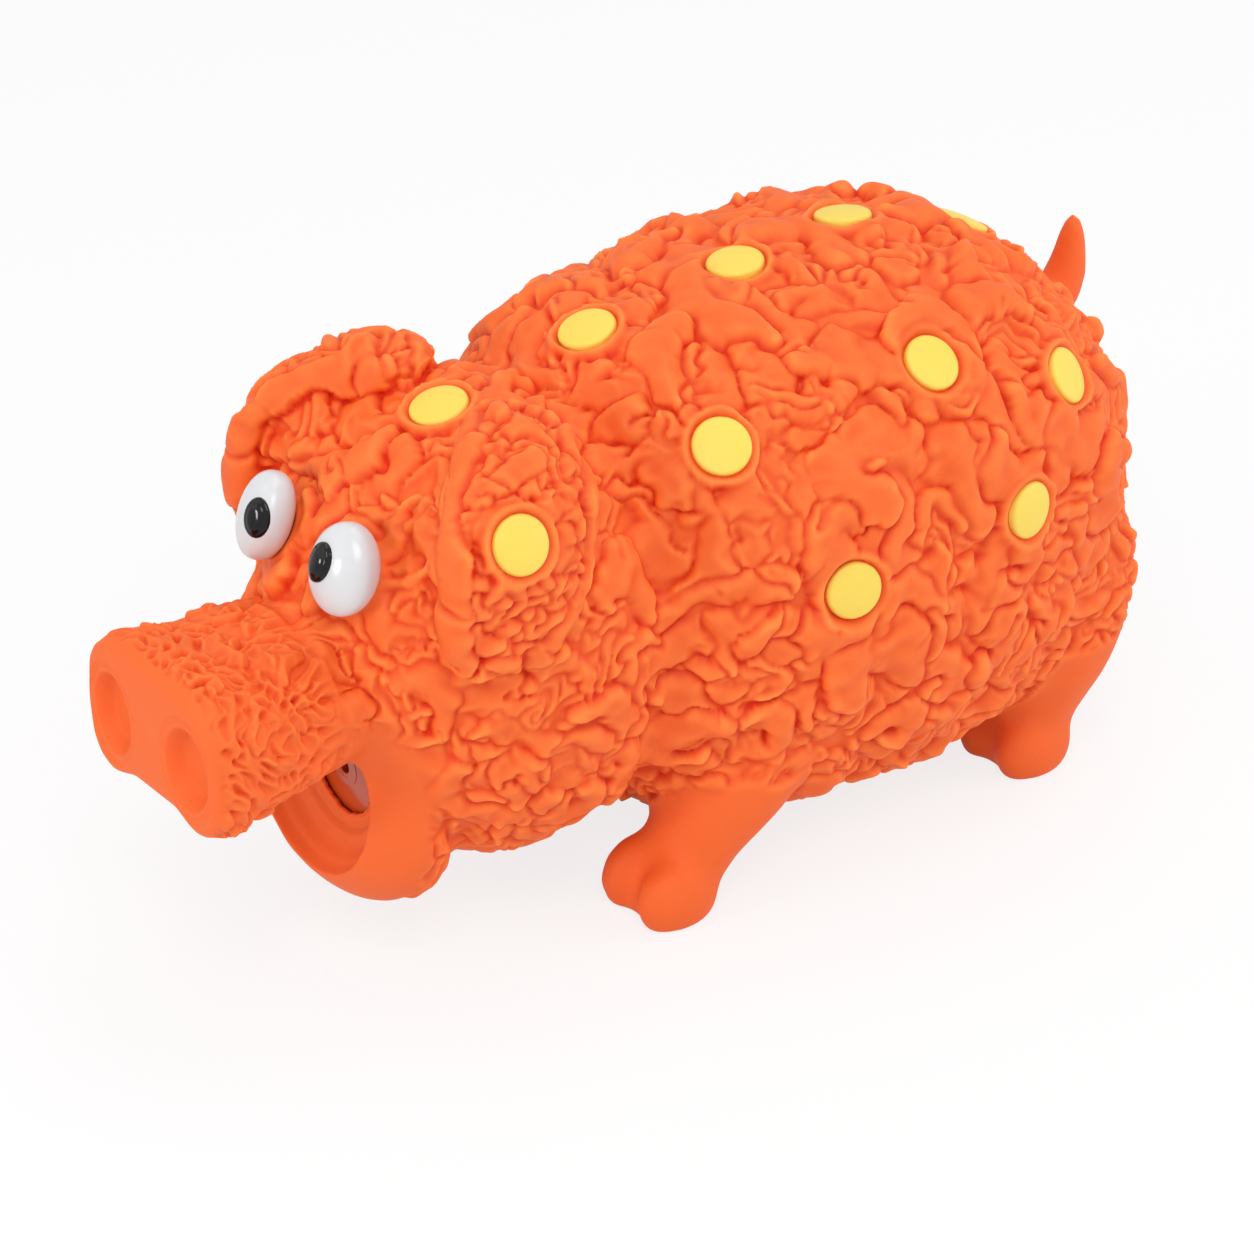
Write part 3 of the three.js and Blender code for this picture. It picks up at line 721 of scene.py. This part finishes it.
def outside_eye(points, side):
    """How far each point lies outside an eye, in millimetres."""
    local = (points - mirrored(EYE_CENTRE, side)) @ np.array(eye_turn(side))
    part = np.sqrt(((local / EYE_HALVES) ** 2).sum(1))
    return (1 - 1 / np.maximum(part, 0.2)) * np.linalg.norm(local, axis=1)


def ear_rim(name):
    """Points just inside the edge of an ear."""
    points = points_of(NODES[name].data)
    centre = points.mean(0)
    long, wide, _ = np.linalg.svd(points - centre, full_matrices=False)[2]
    rim = []
    for angle in np.linspace(0, 2 * math.pi, 40, endpoint=False):
        way = math.cos(angle) * long + math.sin(angle) * wide
        edge = points[((points - centre) @ way).argmax()]
        rim.append(edge - way * 2.6)
    return np.array(rim)


def calm_of(points, normals, dented, leg, tail, hem):
    """Share of the relief that each point keeps: 0 where the latex is smooth and 1 where it is folded."""
    x, y, z = points.T
    cheek = np.hypot(np.hypot(y, z - MOUTH.z), 1.6 * (x - MOUTH.x - 4))
    calm = np.where(z < MOUTH.z + 24, ramp(cheek, 29, 36), 1.0)
    calm = np.where(dented, 1.0, calm)
    calm *= 1 - (leg > 0.5) * (1 - ramp(z, hem - 0.8, hem + 1.2))
    calm *= ramp(x, SNOUT[0].x + 1, SNOUT[0].x + 4) * (1 - ramp(tail, 0.2, 0.8))
    calm *= np.where(x < SNOUT[0].x + 9, ramp(snout_reach(points), 0.82, 0.92), 1)
    return calm * (0.5 + 0.5 * ramp(normals[:, 2], -0.95, -0.6))


def lay_strap(folds):
    """The strap over the root of the snout."""
    strap = []
    for turn in np.linspace(-1.7, 1.7, 28):
        over = Vector((SNOUT[1].x - 1, 24 * math.sin(turn), 62 + 17 * math.cos(turn)))
        strap.append(tuple(folds.tree.find_nearest(over)[0]))
    folds.lobe(np.array(strap), 3.2, 2.2, 0.6, (0, 0), [0, 2], ANY_WAY, 1.0, 2.5, 0.2)


def lay_ear_rims(folds):
    """The rolled rims of the ears."""
    for name in EARS:
        rim = ear_rim(name)
        for start in range(0, len(rim), 5):
            part = np.roll(rim, -start, axis=0)[:8]
            folds.lobe(part, 4.0, 2.4, 1.5, (0, 0.2), [1], ANY_WAY, start, 2.0, 0.3)


def lay_hems(folds, points, normals, on_leg, front_hem, hind_hem):
    """The rolled hems where the folds end on the legs."""
    draw = np.random.default_rng(31)
    x, z = points[:, 0], points[:, 2]
    for front, rest in ((True, front_hem), (False, hind_hem)):
        band = on_leg & (np.abs(z - rest - 2.2) < 0.8) & ((x < BODY_MIDDLE) == front)
        for index in draw.choice(np.nonzero(band)[0], 34):
            way = np.cross(normals[index], [0, 0, 1])
            line = folds.path(points[index], normals[index], way, 10, 1.2, draw.uniform(-0.05, 0.05), 0)
            folds.lobe(line, 2.3, 1.6, draw.uniform(0.4, 1), (0, 0), [0], normals[index], draw.uniform(0, 6))


def heights_of(folds, edges, group):
    """Height and sideways shift of the laid folds, in the order of the mesh's points."""
    back = np.empty(len(group), int)
    back[folds.order] = np.arange(len(group))
    height, second, shift = folds.height[back], folds.second[back], folds.shift[back]
    bare = uncovered(height)
    known = (~bare).astype(float)
    level = spread(height * known, edges, 12) / np.maximum(spread(known, edges, 12), 0.02)
    height = np.where(bare, np.where(group == 2, 0.4, np.clip(level - 0.9, -1, 3)), height)
    second = np.where(uncovered(second), height - 3, second)
    rest = np.clip(height - second, 0, 9)
    height -= (0.9 * np.exp(-rest / 0.8) + 0.35 * np.exp(-rest / 0.2)) * ~bare * np.where(group == 2, 0.3, 1)
    height -= folds.press[back]
    return height, shift


def wrinkle(skin, settings):
    """Lays folds over the skin and presses pits into the snout."""
    mesh = skin.data
    front_hem, hind_hem, scale = settings.front_hem * 1000, settings.hind_hem * 1000, settings.fold_size
    points, normals, edges = points_of(mesh), normals_of(mesh), edges_of(mesh)
    x, y, _ = points.T
    inner = values_of(mesh, "inner") > 0.3
    ear, snout, leg, tail = (values_of(mesh, title) for title in ("ear", "snout", "leg", "tail"))
    dented = (snout > 0.5) & (x < SNOUT[1].x - 7)

    # Groups of points: -1 on the inner wall, 1 on the ears, 2 on the front of the snout and 0 elsewhere
    group = np.where(inner, -1, np.where(ear > 0.5, 1, np.where(dented, 2, 0)))

    hem = np.where(x < BODY_MIDDLE, front_hem, hind_hem)
    hem = hem + 1.2 * np.sin(np.arctan2(y - np.sign(y) * 34, x) * 5)
    calm = calm_of(points, normals, dented, leg, tail, hem)
    from_spot = around([pad(name) for name in SPOTS], points, normals)
    from_eye = np.minimum(outside_eye(points, -1), outside_eye(points, 1))
    calm *= ramp(from_spot, 0.8, 3) * ramp(from_eye, 0.8, 3.2)

    folds = Folds(points, normals, group, surface_tree(skin))
    lively = (calm > 0.02)[folds.order]
    steps = ((0.84, scale), (0.96, 0.6 * scale))
    lay_strap(folds)
    lay_ear_rims(folds)
    lay_hems(folds, points, normals, (leg > 0.5) & (group == 0), front_hem, hind_hem)
    folds.cover([0], 11, lobe_size, lively, steps)
    folds.scatter([0], 14, lambda place: (0.9, 1.8, 6, 18), lively, 170)
    folds.cover([1], 12, lambda place: (1.6, 3.3, 6, 16), lively, steps)
    folds.cover([2], 13, lambda place: (1.4, 2.4, 5, 14), lively, ((0.3, 1),), (0.22, 0.34))
    folds.pits([2], 15, lively, 1000)

    height, shift = heights_of(folds, edges, group)
    mean = np.where(group == 0, 2.0, np.where(group == 1, 1.2, 0.2))
    swell = 0.4 * noise_at(points, 12, 41) + 0.22 * noise_at(points, 6.5, 42)
    rise = settings.relief * calm * (height - mean + swell * (group != 2))
    rise += 0.9 * ramp(tail, 0.5, 1) - 1.2 * bell(ear, 0.4, 0.25)
    rise += 1.2 * bell(from_spot, 1.4, 0.8) - 0.5 * bell(from_spot, 0.2, 0.4)
    rise -= 0.5 * (from_spot < 0)
    rise += 0.9 * bell(from_eye, 0.9, 0.7) - 0.5 * (from_eye < 0)
    rise = np.where(rise > 1.5, 1.5 + 2 * np.tanh((rise - 1.5) / 2), np.maximum(rise, -2)) - SEAM_FILL
    rise = np.where(inner, SEAM_FILL + 0.5 + 0.8 * snout, rise)
    rise = spread(rise, edges, 2, 0.5)
    border = (snout > 0.3) * bell(x, SNOUT[1].x - 7, 1.8)
    rise += border * (spread(rise, edges, 16) - rise)
    shift = spread(shift * calm[:, None], edges, 2, 0.6)
    points = points + normals * rise[:, None] + shift
    points[:, 2] = np.maximum(points[:, 2], 0)
    move_points(mesh, points)
    # Painted shade and highlight: how far each point lies below the mean height around it, which the latex
    # colour turns into darker creases and lighter ridges.
    set_values(mesh, "crease", np.clip((spread(rise, edges, 10) - rise) / 0.8, -1, 1))


class TOY_OT_skin(bpy.types.Operator):
    """Models the wrinkled latex skin."""

    bl_idname = "toy.skin"
    bl_label = "Latex skin"

    def execute(self, context):
        settings = context.scene.toy_skin
        skin = base_skin(settings.cell)
        mark_regions(skin)
        smooth_form(skin)
        mesh = skin.data
        refine(skin, values_of(mesh, "inner"))
        refine(skin, np.maximum(1 - values_of(mesh, "snout"), values_of(mesh, "inner")))
        edges = edges_of(mesh)
        points = spread(points_of(mesh), edges, 2, 0.5)
        move_points(mesh, points)
        normals = normals_of(mesh)
        move_points(mesh, shape_nostrils(shape_dish(points, normals), normals))
        wrinkle(skin, settings)
        finish(skin, "latex", latex_material(settings.ridge_highlight, settings.crease), *SKINS)
        return {"FINISHED"}


# Smaller pieces

def set_in_place(piece, centre, normal, axes):
    """Turns a piece made at the origin, facing +Z, to where it belongs, and applies that."""
    along = Vector(axes[0])
    facing = Vector(normal)
    across = facing.cross(along)
    turn = Matrix((along, across, facing)).transposed().to_4x4()
    piece.matrix_world = Matrix.Translation(Vector(centre) / 1000) @ turn
    choose(piece)
    bpy.ops.object.transform_apply(location=True, rotation=True, scale=True)


def choose_faces(piece, wanted):
    """Selects the faces that a test picks."""
    choose(piece)
    go_to("EDIT")
    bpy.ops.mesh.select_mode(type="FACE")
    bpy.ops.mesh.select_all(action="DESELECT")
    go_to("OBJECT")
    for face in piece.data.polygons:
        face.select = wanted(face)


def button(title, halves, under, over, crown):
    """A pad with a rounded rim and a crowned face, lying on the XY plane."""
    deselect()
    bpy.ops.mesh.primitive_cylinder_add(
        vertices=64, radius=0.001, depth=(under + over) / 1000, location=(0, 0, (over - under) / 2000)
    )
    piece = bpy.context.object
    piece.name = title
    piece.scale = (*halves, 1)
    bpy.ops.object.transform_apply(scale=True)
    go_to("EDIT")
    bpy.ops.mesh.select_all(action="DESELECT")
    go_to("OBJECT")
    top = (over - 0.05) / 1000
    for edge in piece.data.edges:
        edge.select = all(piece.data.vertices[v].co.z > top for v in edge.vertices)
    go_to("EDIT")
    bpy.ops.mesh.bevel(offset=min(PAD_ROUNDING, (under + over) * 0.45) / 1000, segments=5, profile=0.5)
    go_to("OBJECT")
    choose_faces(piece, lambda face: face.normal.z > 0.99 and face.center.z > top)
    go_to("EDIT")
    for share in (0.5, 0.3, 0.14, 0.06):
        bpy.ops.mesh.inset(thickness=(min(halves) - PAD_ROUNDING) * 0.2 / 1000, depth=crown * share / 1000)
    bpy.ops.mesh.poke()
    go_to("OBJECT")
    return piece


def dress(piece, material):
    piece.data.materials.clear()
    piece.data.materials.append(material)


def finish(piece, slot, material, *replaced, edges=False):
    """Shades a piece, with sharp edges or without, gives it its material and tells the frame of it."""
    choose(piece)
    if edges:
        bpy.ops.object.shade_smooth_by_angle(angle=math.radians(50))
    else:
        bpy.ops.object.shade_smooth()
    dress(piece, material)
    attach(piece, "toy")
    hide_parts(*replaced)


class TOY_OT_spots(bpy.types.Operator):
    """Models the raised yellow spots."""

    bl_idname = "toy.spots"
    bl_label = "Yellow spots"

    def execute(self, context):
        settings = context.scene.toy_spots
        radius = settings.radius * 1000
        first = button("spot_form", (radius, radius), 1.5, 1.0, settings.crown * 1000)
        material = spot_material(settings.colour)
        for name in SPOTS:
            centre, normal, axes, _ = pad(name)
            spot = add(name.replace("spot", "pad"), first.data.copy())
            set_in_place(spot, centre - normal * settings.sink * 1000, normal, axes)
            finish(spot, "spots", material, name, edges=True)
        bpy.data.objects.remove(first)
        return {"FINISHED"}


class TOY_OT_eyes(bpy.types.Operator):
    """Models the white eyes and the black pupils on them."""

    bl_idname = "toy.eyes"
    bl_label = "Eyes and pupils"

    def execute(self, context):
        settings = context.scene.toy_eyes
        white, black = eye_material(settings.white), pupil_material(settings.black)
        pupil_halves = (settings.pupil_width * 1000, settings.pupil_height * 1000)
        for name, side in (("left", -1), ("right", 1)):
            eye = ball(64, 40)
            eye.name = f"eye_pad_{name}"
            points = points_of(eye.data)
            points[:, 0] = np.sign(points[:, 0]) * np.abs(points[:, 0]) ** EYE_BLUNTNESS
            points = points * EYE_HALVES
            turn = np.array(eye_turn(side))
            move_points(eye.data, points @ turn.T + mirrored(EYE_CENTRE, side))
            finish(eye, "eyes", white, f"eye_{name}", edges=True)

            centre, normal, _, _ = pad(f"pupil_{name}")
            upright = np.array([0.0, 0, 1]) - normal * normal[2]
            upright /= np.linalg.norm(upright)
            pupil = button(f"pupil_pad_{name}", pupil_halves, 1.2, 0.5, 0.7)
            across = np.cross(upright, normal)
            shift = LEFT_PUPIL_SHIFT if side < 0 else 0
            set_in_place(pupil, centre + across * shift, normal, (across, upright))
            finish(pupil, "pupils", black, f"pupil_{name}", edges=True)
        return {"FINISHED"}


class TOY_OT_filling(bpy.types.Operator):
    """Models the loose fibre inside the head and the body."""

    bl_idname = "toy.filling"
    bl_label = "Fibre filling"

    def execute(self, context):
        settings = context.scene.toy_filling
        material = fibre_material(settings.colour)
        for name in FILLINGS:
            wad = copy_of([name], name.replace("stuffing", "fibre"))
            apply(wad, "REMESH", mode="VOXEL", voxel_size=0.0026, adaptivity=0.0)
            mesh = wad.data
            points, normals = points_of(mesh), normals_of(mesh)
            tufts = noise_at(points, 9, 3) * 0.4 + noise_at(points, 4, 4) * 0.25
            moved = points - normals * (settings.gap * 1000 - tufts)[:, None]
            move_points(mesh, spread(moved, edges_of(mesh), 3, 0.5))
            finish(wad, "fibre", material, name)
        return {"FINISHED"}


class TOY_OT_grunter(bpy.types.Operator):
    """Models the grunter's domed front cap and dresses its bellows, rear cap and reed."""

    bl_idname = "toy.grunter"
    bl_label = "Grunter"

    def execute(self, context):
        low, high = CAP
        radius = (high.y - low.y) / 2
        settings = context.scene.toy_grunter
        bore, dome = settings.bore * 1000, settings.dome * 1000
        radii = np.concatenate([np.linspace(bore, radius * 0.96, 14), [radius * 0.99]])
        rise = dome * (1 - np.sqrt(np.clip(1 - (radii / radius) ** 2, 0, 1)))
        seat = low.x + dome
        line = [(low.x + up, reach) for up, reach in zip(rise, radii)]
        line += [(seat, radius), (high.x, radius), (high.x, radius - CAP_WALL)]
        line += [(seat + CAP_WALL, radius - CAP_WALL), (seat + CAP_WALL, bore)]
        mesh = bpy.data.meshes.new("grunter_cap")
        mesh.from_pydata(
            [(x / 1000, 0, (MOUTH.z + reach) / 1000) for x, reach in line],
            [(i, (i + 1) % len(line)) for i in range(len(line))],
            [],
        )
        cap = add("grunter_cap", mesh)
        choose(cap)
        edit_all()
        bpy.ops.mesh.spin(steps=72, angle=2 * math.pi, center=(0, 0, MOUTH.z / 1000), axis=(1, 0, 0))
        bpy.ops.mesh.select_all(action="SELECT")
        bpy.ops.mesh.remove_doubles(threshold=0.000005)
        bpy.ops.mesh.normals_make_consistent(inside=False)
        go_to("OBJECT")
        # The plastic gets a painted shade colour in place of its own off-white.
        plastic = shaded_plastic_material(settings.plastic)
        finish(cap, "grunter_plastic", plastic, "grunter_front_cap", edges=True)
        bellows = copy_of(["grunter_bellows"], "bellows")
        finish(bellows, "grunter_plastic", plastic, "grunter_bellows", edges=True)
        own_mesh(bellows)
        for name in ("grunter_rear_cap", "reed_seat"):
            dress(NODES[name], plastic)
        dress(NODES["reed_tongue"], brass_material(settings.brass))
        return {"FINISHED"}


# Materials

def shader(title, tint, roughness):
    material = bpy.data.materials.new(title)
    material.use_nodes = True
    nodes, links = material.node_tree.nodes, material.node_tree.links
    base = nodes["Principled BSDF"]
    base.inputs["Base Color"].default_value = (*tint, 1)
    base.inputs["Roughness"].default_value = roughness
    return material, nodes, links, base


def set_inputs(node, values):
    for name, value in values.items():
        node.inputs[name].default_value = value


def latex_material(ridge_highlight, deep):
    material, nodes, links, base = shader("matte orange latex", ridge_highlight, 0.6)
    # Painted shade and highlight: the stored crease value moves the colour from the lit ridge colour to the
    # shaded crease colour that deep holds.
    crease = nodes.new("ShaderNodeAttribute")
    crease.attribute_name = "crease"
    painted_shade_ramp = nodes.new("ShaderNodeValToRGB")
    for stop, position, tint in zip(painted_shade_ramp.color_ramp.elements, (0.15, 0.85), (ridge_highlight, deep)):
        stop.position = position
        stop.color = (*tint, 1)
    shift = nodes.new("ShaderNodeMapRange")
    set_inputs(shift, {"From Min": -1, "From Max": 1})
    links.new(crease.outputs["Fac"], shift.inputs["Value"])
    links.new(shift.outputs["Result"], painted_shade_ramp.inputs["Fac"])
    links.new(painted_shade_ramp.outputs["Color"], base.inputs["Base Color"])
    set_inputs(base, {
        "Specular IOR Level": 0.25,
        "Subsurface Weight": 0.1,
        "Subsurface Radius": (1.0, 0.35, 0.08),
        "Subsurface Scale": 0.0025,
    })
    return material


def grain(nodes, links, base, size, height):
    """Fine bumps in the surface, from noise on object coordinates."""
    place = nodes.new("ShaderNodeTexCoord")
    noise = nodes.new("ShaderNodeTexNoise")
    set_inputs(noise, {"Scale": size, "Detail": 5})
    bump = nodes.new("ShaderNodeBump")
    bump.inputs["Distance"].default_value = height
    links.new(place.outputs["Object"], noise.inputs["Vector"])
    links.new(noise.outputs["Fac"], bump.inputs["Height"])
    links.new(bump.outputs["Normal"], base.inputs["Normal"])
    return noise


def grained(title, tint, roughness, size, height, inputs):
    """A material of one colour with a grain and some inputs of its own."""
    material, nodes, links, base = shader(title, tint, roughness)
    grain(nodes, links, base, size, height)
    set_inputs(base, inputs)
    return material


def spot_material(tint):
    return grained("matte yellow latex", tint, 0.5, 900, 0.0001, {
        "Subsurface Weight": 0.1,
        "Subsurface Radius": (1.0, 0.7, 0.2),
        "Subsurface Scale": 0.0015,
    })


def eye_material(tint):
    softness = {"Subsurface Weight": 0.1, "Subsurface Scale": 0.001}
    return grained("glossy white latex", tint, 0.22, 260, 0.00008, softness)


def pupil_material(tint):
    return grained("glossy black latex", tint, 0.08, 300, 0.000002, {"Specular IOR Level": 0.3})


def fibre_material(tint):
    material, nodes, links, base = shader("loose white fibre", tint, 0.95)
    noise = grain(nodes, links, base, 420, 0.0008)
    noise.inputs["Distortion"].default_value = 2.5
    base.inputs["Sheen Weight"].default_value = 0.4
    return material


# Glossy plastic whose colour is painted shade, not the plastic's own off-white.
def shaded_plastic_material(tint):
    coat = {"Coat Weight": 0.15, "Coat Roughness": 0.06}
    return grained("glossy grunter in painted shade", tint, 0.2, 200, 0.00002, coat)


def brass_material(tint):
    return grained("thin brass blade", tint, 0.3, 1500, 0.00001, {"Metallic": 1})


def seen_directly(nodes, links):
    """1 for what the camera sees by itself, in a mirror or through glass."""
    light = nodes.new("ShaderNodeLightPath")
    total = light.outputs["Is Camera Ray"]
    for name in ("Is Glossy Ray", "Is Transmission Ray"):
        add = nodes.new("ShaderNodeMath")
        add.operation = "MAXIMUM"
        links.new(total, add.inputs[0])
        links.new(light.outputs[name], add.inputs[1])
        total = add.outputs["Value"]
    return total


def floor_material():
    """A white floor that keeps a soft shadow."""
    material, nodes, links, base = shader("pale floor", (0.9, 0.9, 0.9), 0.8)
    grain(nodes, links, base, 40, 0.0001)
    white = nodes.new("ShaderNodeEmission")
    share = nodes.new("ShaderNodeMath")
    share.operation = "MULTIPLY"
    share.inputs[1].default_value = 0.8
    links.new(seen_directly(nodes, links), share.inputs[0])
    both = nodes.new("ShaderNodeMixShader")
    links.new(share.outputs["Value"], both.inputs["Fac"])
    links.new(base.outputs["BSDF"], both.inputs[1])
    links.new(white.outputs["Emission"], both.inputs[2])
    links.new(both.outputs["Shader"], nodes["Material Output"].inputs["Surface"])
    return material


# Stage, in metres

# The point that the lamps and the camera aim at
AIM = Vector((0, 0, 0.06))

# Name, place, size and power of each lamp
LAMPS = (
    ("key", (-0.5, -0.7, 1.0), 0.6, 5.8),
    ("fill", (-0.9, 0.4, 0.7), 0.8, 1.2),
    ("top", (0.3, 0.1, 1.2), 0.8, 3.8),
    ("side", (0.8, -0.7, 0.35), 0.7, 3.2),
    ("catch", (-0.853, -0.008, 0.277), 0.14, 1.3),
)

# The photo's width in pixels, where the aim is seen on it, and its scale there from a distance in millimetres
PHOTO_WIDTH = 1254
AIM_PIXEL = (640, 560)
PIXELS_PER_MM = 4.95
SCALE_DISTANCE = 920
SENSOR_WIDTH = 36

class TOY_OT_stage(bpy.types.Operator):
    """Sets up the floor, lights, world and camera."""

    bl_idname = "toy.stage"
    bl_label = "Stage"

    def execute(self, context):
        scene, settings = context.scene, context.scene.toy_stage
        deselect()
        bpy.ops.mesh.primitive_plane_add(size=6, location=(0, 0, 0))
        floor = bpy.context.object
        floor.name = "floor"
        floor.data.materials.append(floor_material())
        world = bpy.data.worlds.new("studio")
        scene.world = world
        world.use_nodes = True
        nodes, links = world.node_tree.nodes, world.node_tree.links
        nodes["Background"].inputs["Color"].default_value = (1, 1, 1, 1)
        level = nodes.new("ShaderNodeMapRange")
        set_inputs(level, {"To Min": settings.surround, "To Max": 1})
        links.new(seen_directly(nodes, links), level.inputs["Value"])
        links.new(level.outputs["Result"], nodes["Background"].inputs["Strength"])
        for title, place, size, power in LAMPS:
            bpy.ops.object.light_add(type="AREA", location=place)
            lamp = bpy.context.object
            lamp.name = title
            lamp.data.size = size
            lamp.data.energy = power * settings.lamps
            lamp.rotation_euler = (AIM - Vector(place)).to_track_quat("-Z", "Y").to_euler()
        azimuth, elevation = settings.azimuth, settings.elevation
        back = Vector((
            math.sin(azimuth) * math.cos(elevation),
            -math.cos(azimuth) * math.cos(elevation),
            math.sin(elevation),
        ))
        bpy.ops.object.camera_add(location=AIM + back * settings.distance)
        camera = bpy.context.object
        camera.rotation_euler = back.to_track_quat("Z", "Y").to_euler()
        camera.data.sensor_width = SENSOR_WIDTH
        camera.data.lens = PIXELS_PER_MM * SCALE_DISTANCE * SENSOR_WIDTH / PHOTO_WIDTH
        camera.data.shift_x = (PHOTO_WIDTH / 2 - AIM_PIXEL[0]) / PHOTO_WIDTH
        camera.data.shift_y = (AIM_PIXEL[1] - PHOTO_WIDTH / 2) / PHOTO_WIDTH
        scene.camera = camera
        scene.view_settings.view_transform = "Standard"
        return {"FINISHED"}


class TOY_PT_panel(bpy.types.Panel):
    """Lists the toy's settings with the operators that use them."""

    bl_idname = "TOY_PT_panel"
    bl_label = "Latex Dog Toy"
    bl_space_type = "VIEW_3D"
    bl_region_type = "UI"
    bl_category = "Latex Toy"

    def draw(self, context):
        for title in SECTIONS:
            box = self.layout.box()
            settings = getattr(context.scene, f"toy_{title}")
            for name in settings.__annotations__:
                box.prop(settings, name)
            box.operator(f"toy.{title}")


SECTIONS = ("skin", "spots", "eyes", "filling", "grunter", "stage")
SETTINGS = (TOY_PG_skin, TOY_PG_spots, TOY_PG_eyes, TOY_PG_filling, TOY_PG_grunter, TOY_PG_stage)
OPERATORS = (TOY_OT_skin, TOY_OT_spots, TOY_OT_eyes, TOY_OT_filling, TOY_OT_grunter, TOY_OT_stage)


def register():
    for item in (*SETTINGS, *OPERATORS, TOY_PT_panel):
        bpy.utils.register_class(item)
    for title, item in zip(SECTIONS, SETTINGS):
        setattr(bpy.types.Scene, f"toy_{title}", bpy.props.PointerProperty(type=item))


def unregister():
    for title in SECTIONS:
        delattr(bpy.types.Scene, f"toy_{title}")
    for item in reversed((*SETTINGS, *OPERATORS, TOY_PT_panel)):
        bpy.utils.unregister_class(item)


def main():
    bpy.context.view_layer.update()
    register()
    for title in SECTIONS:
        getattr(bpy.ops.toy, title)()


if __name__ == "__main__":
    main()
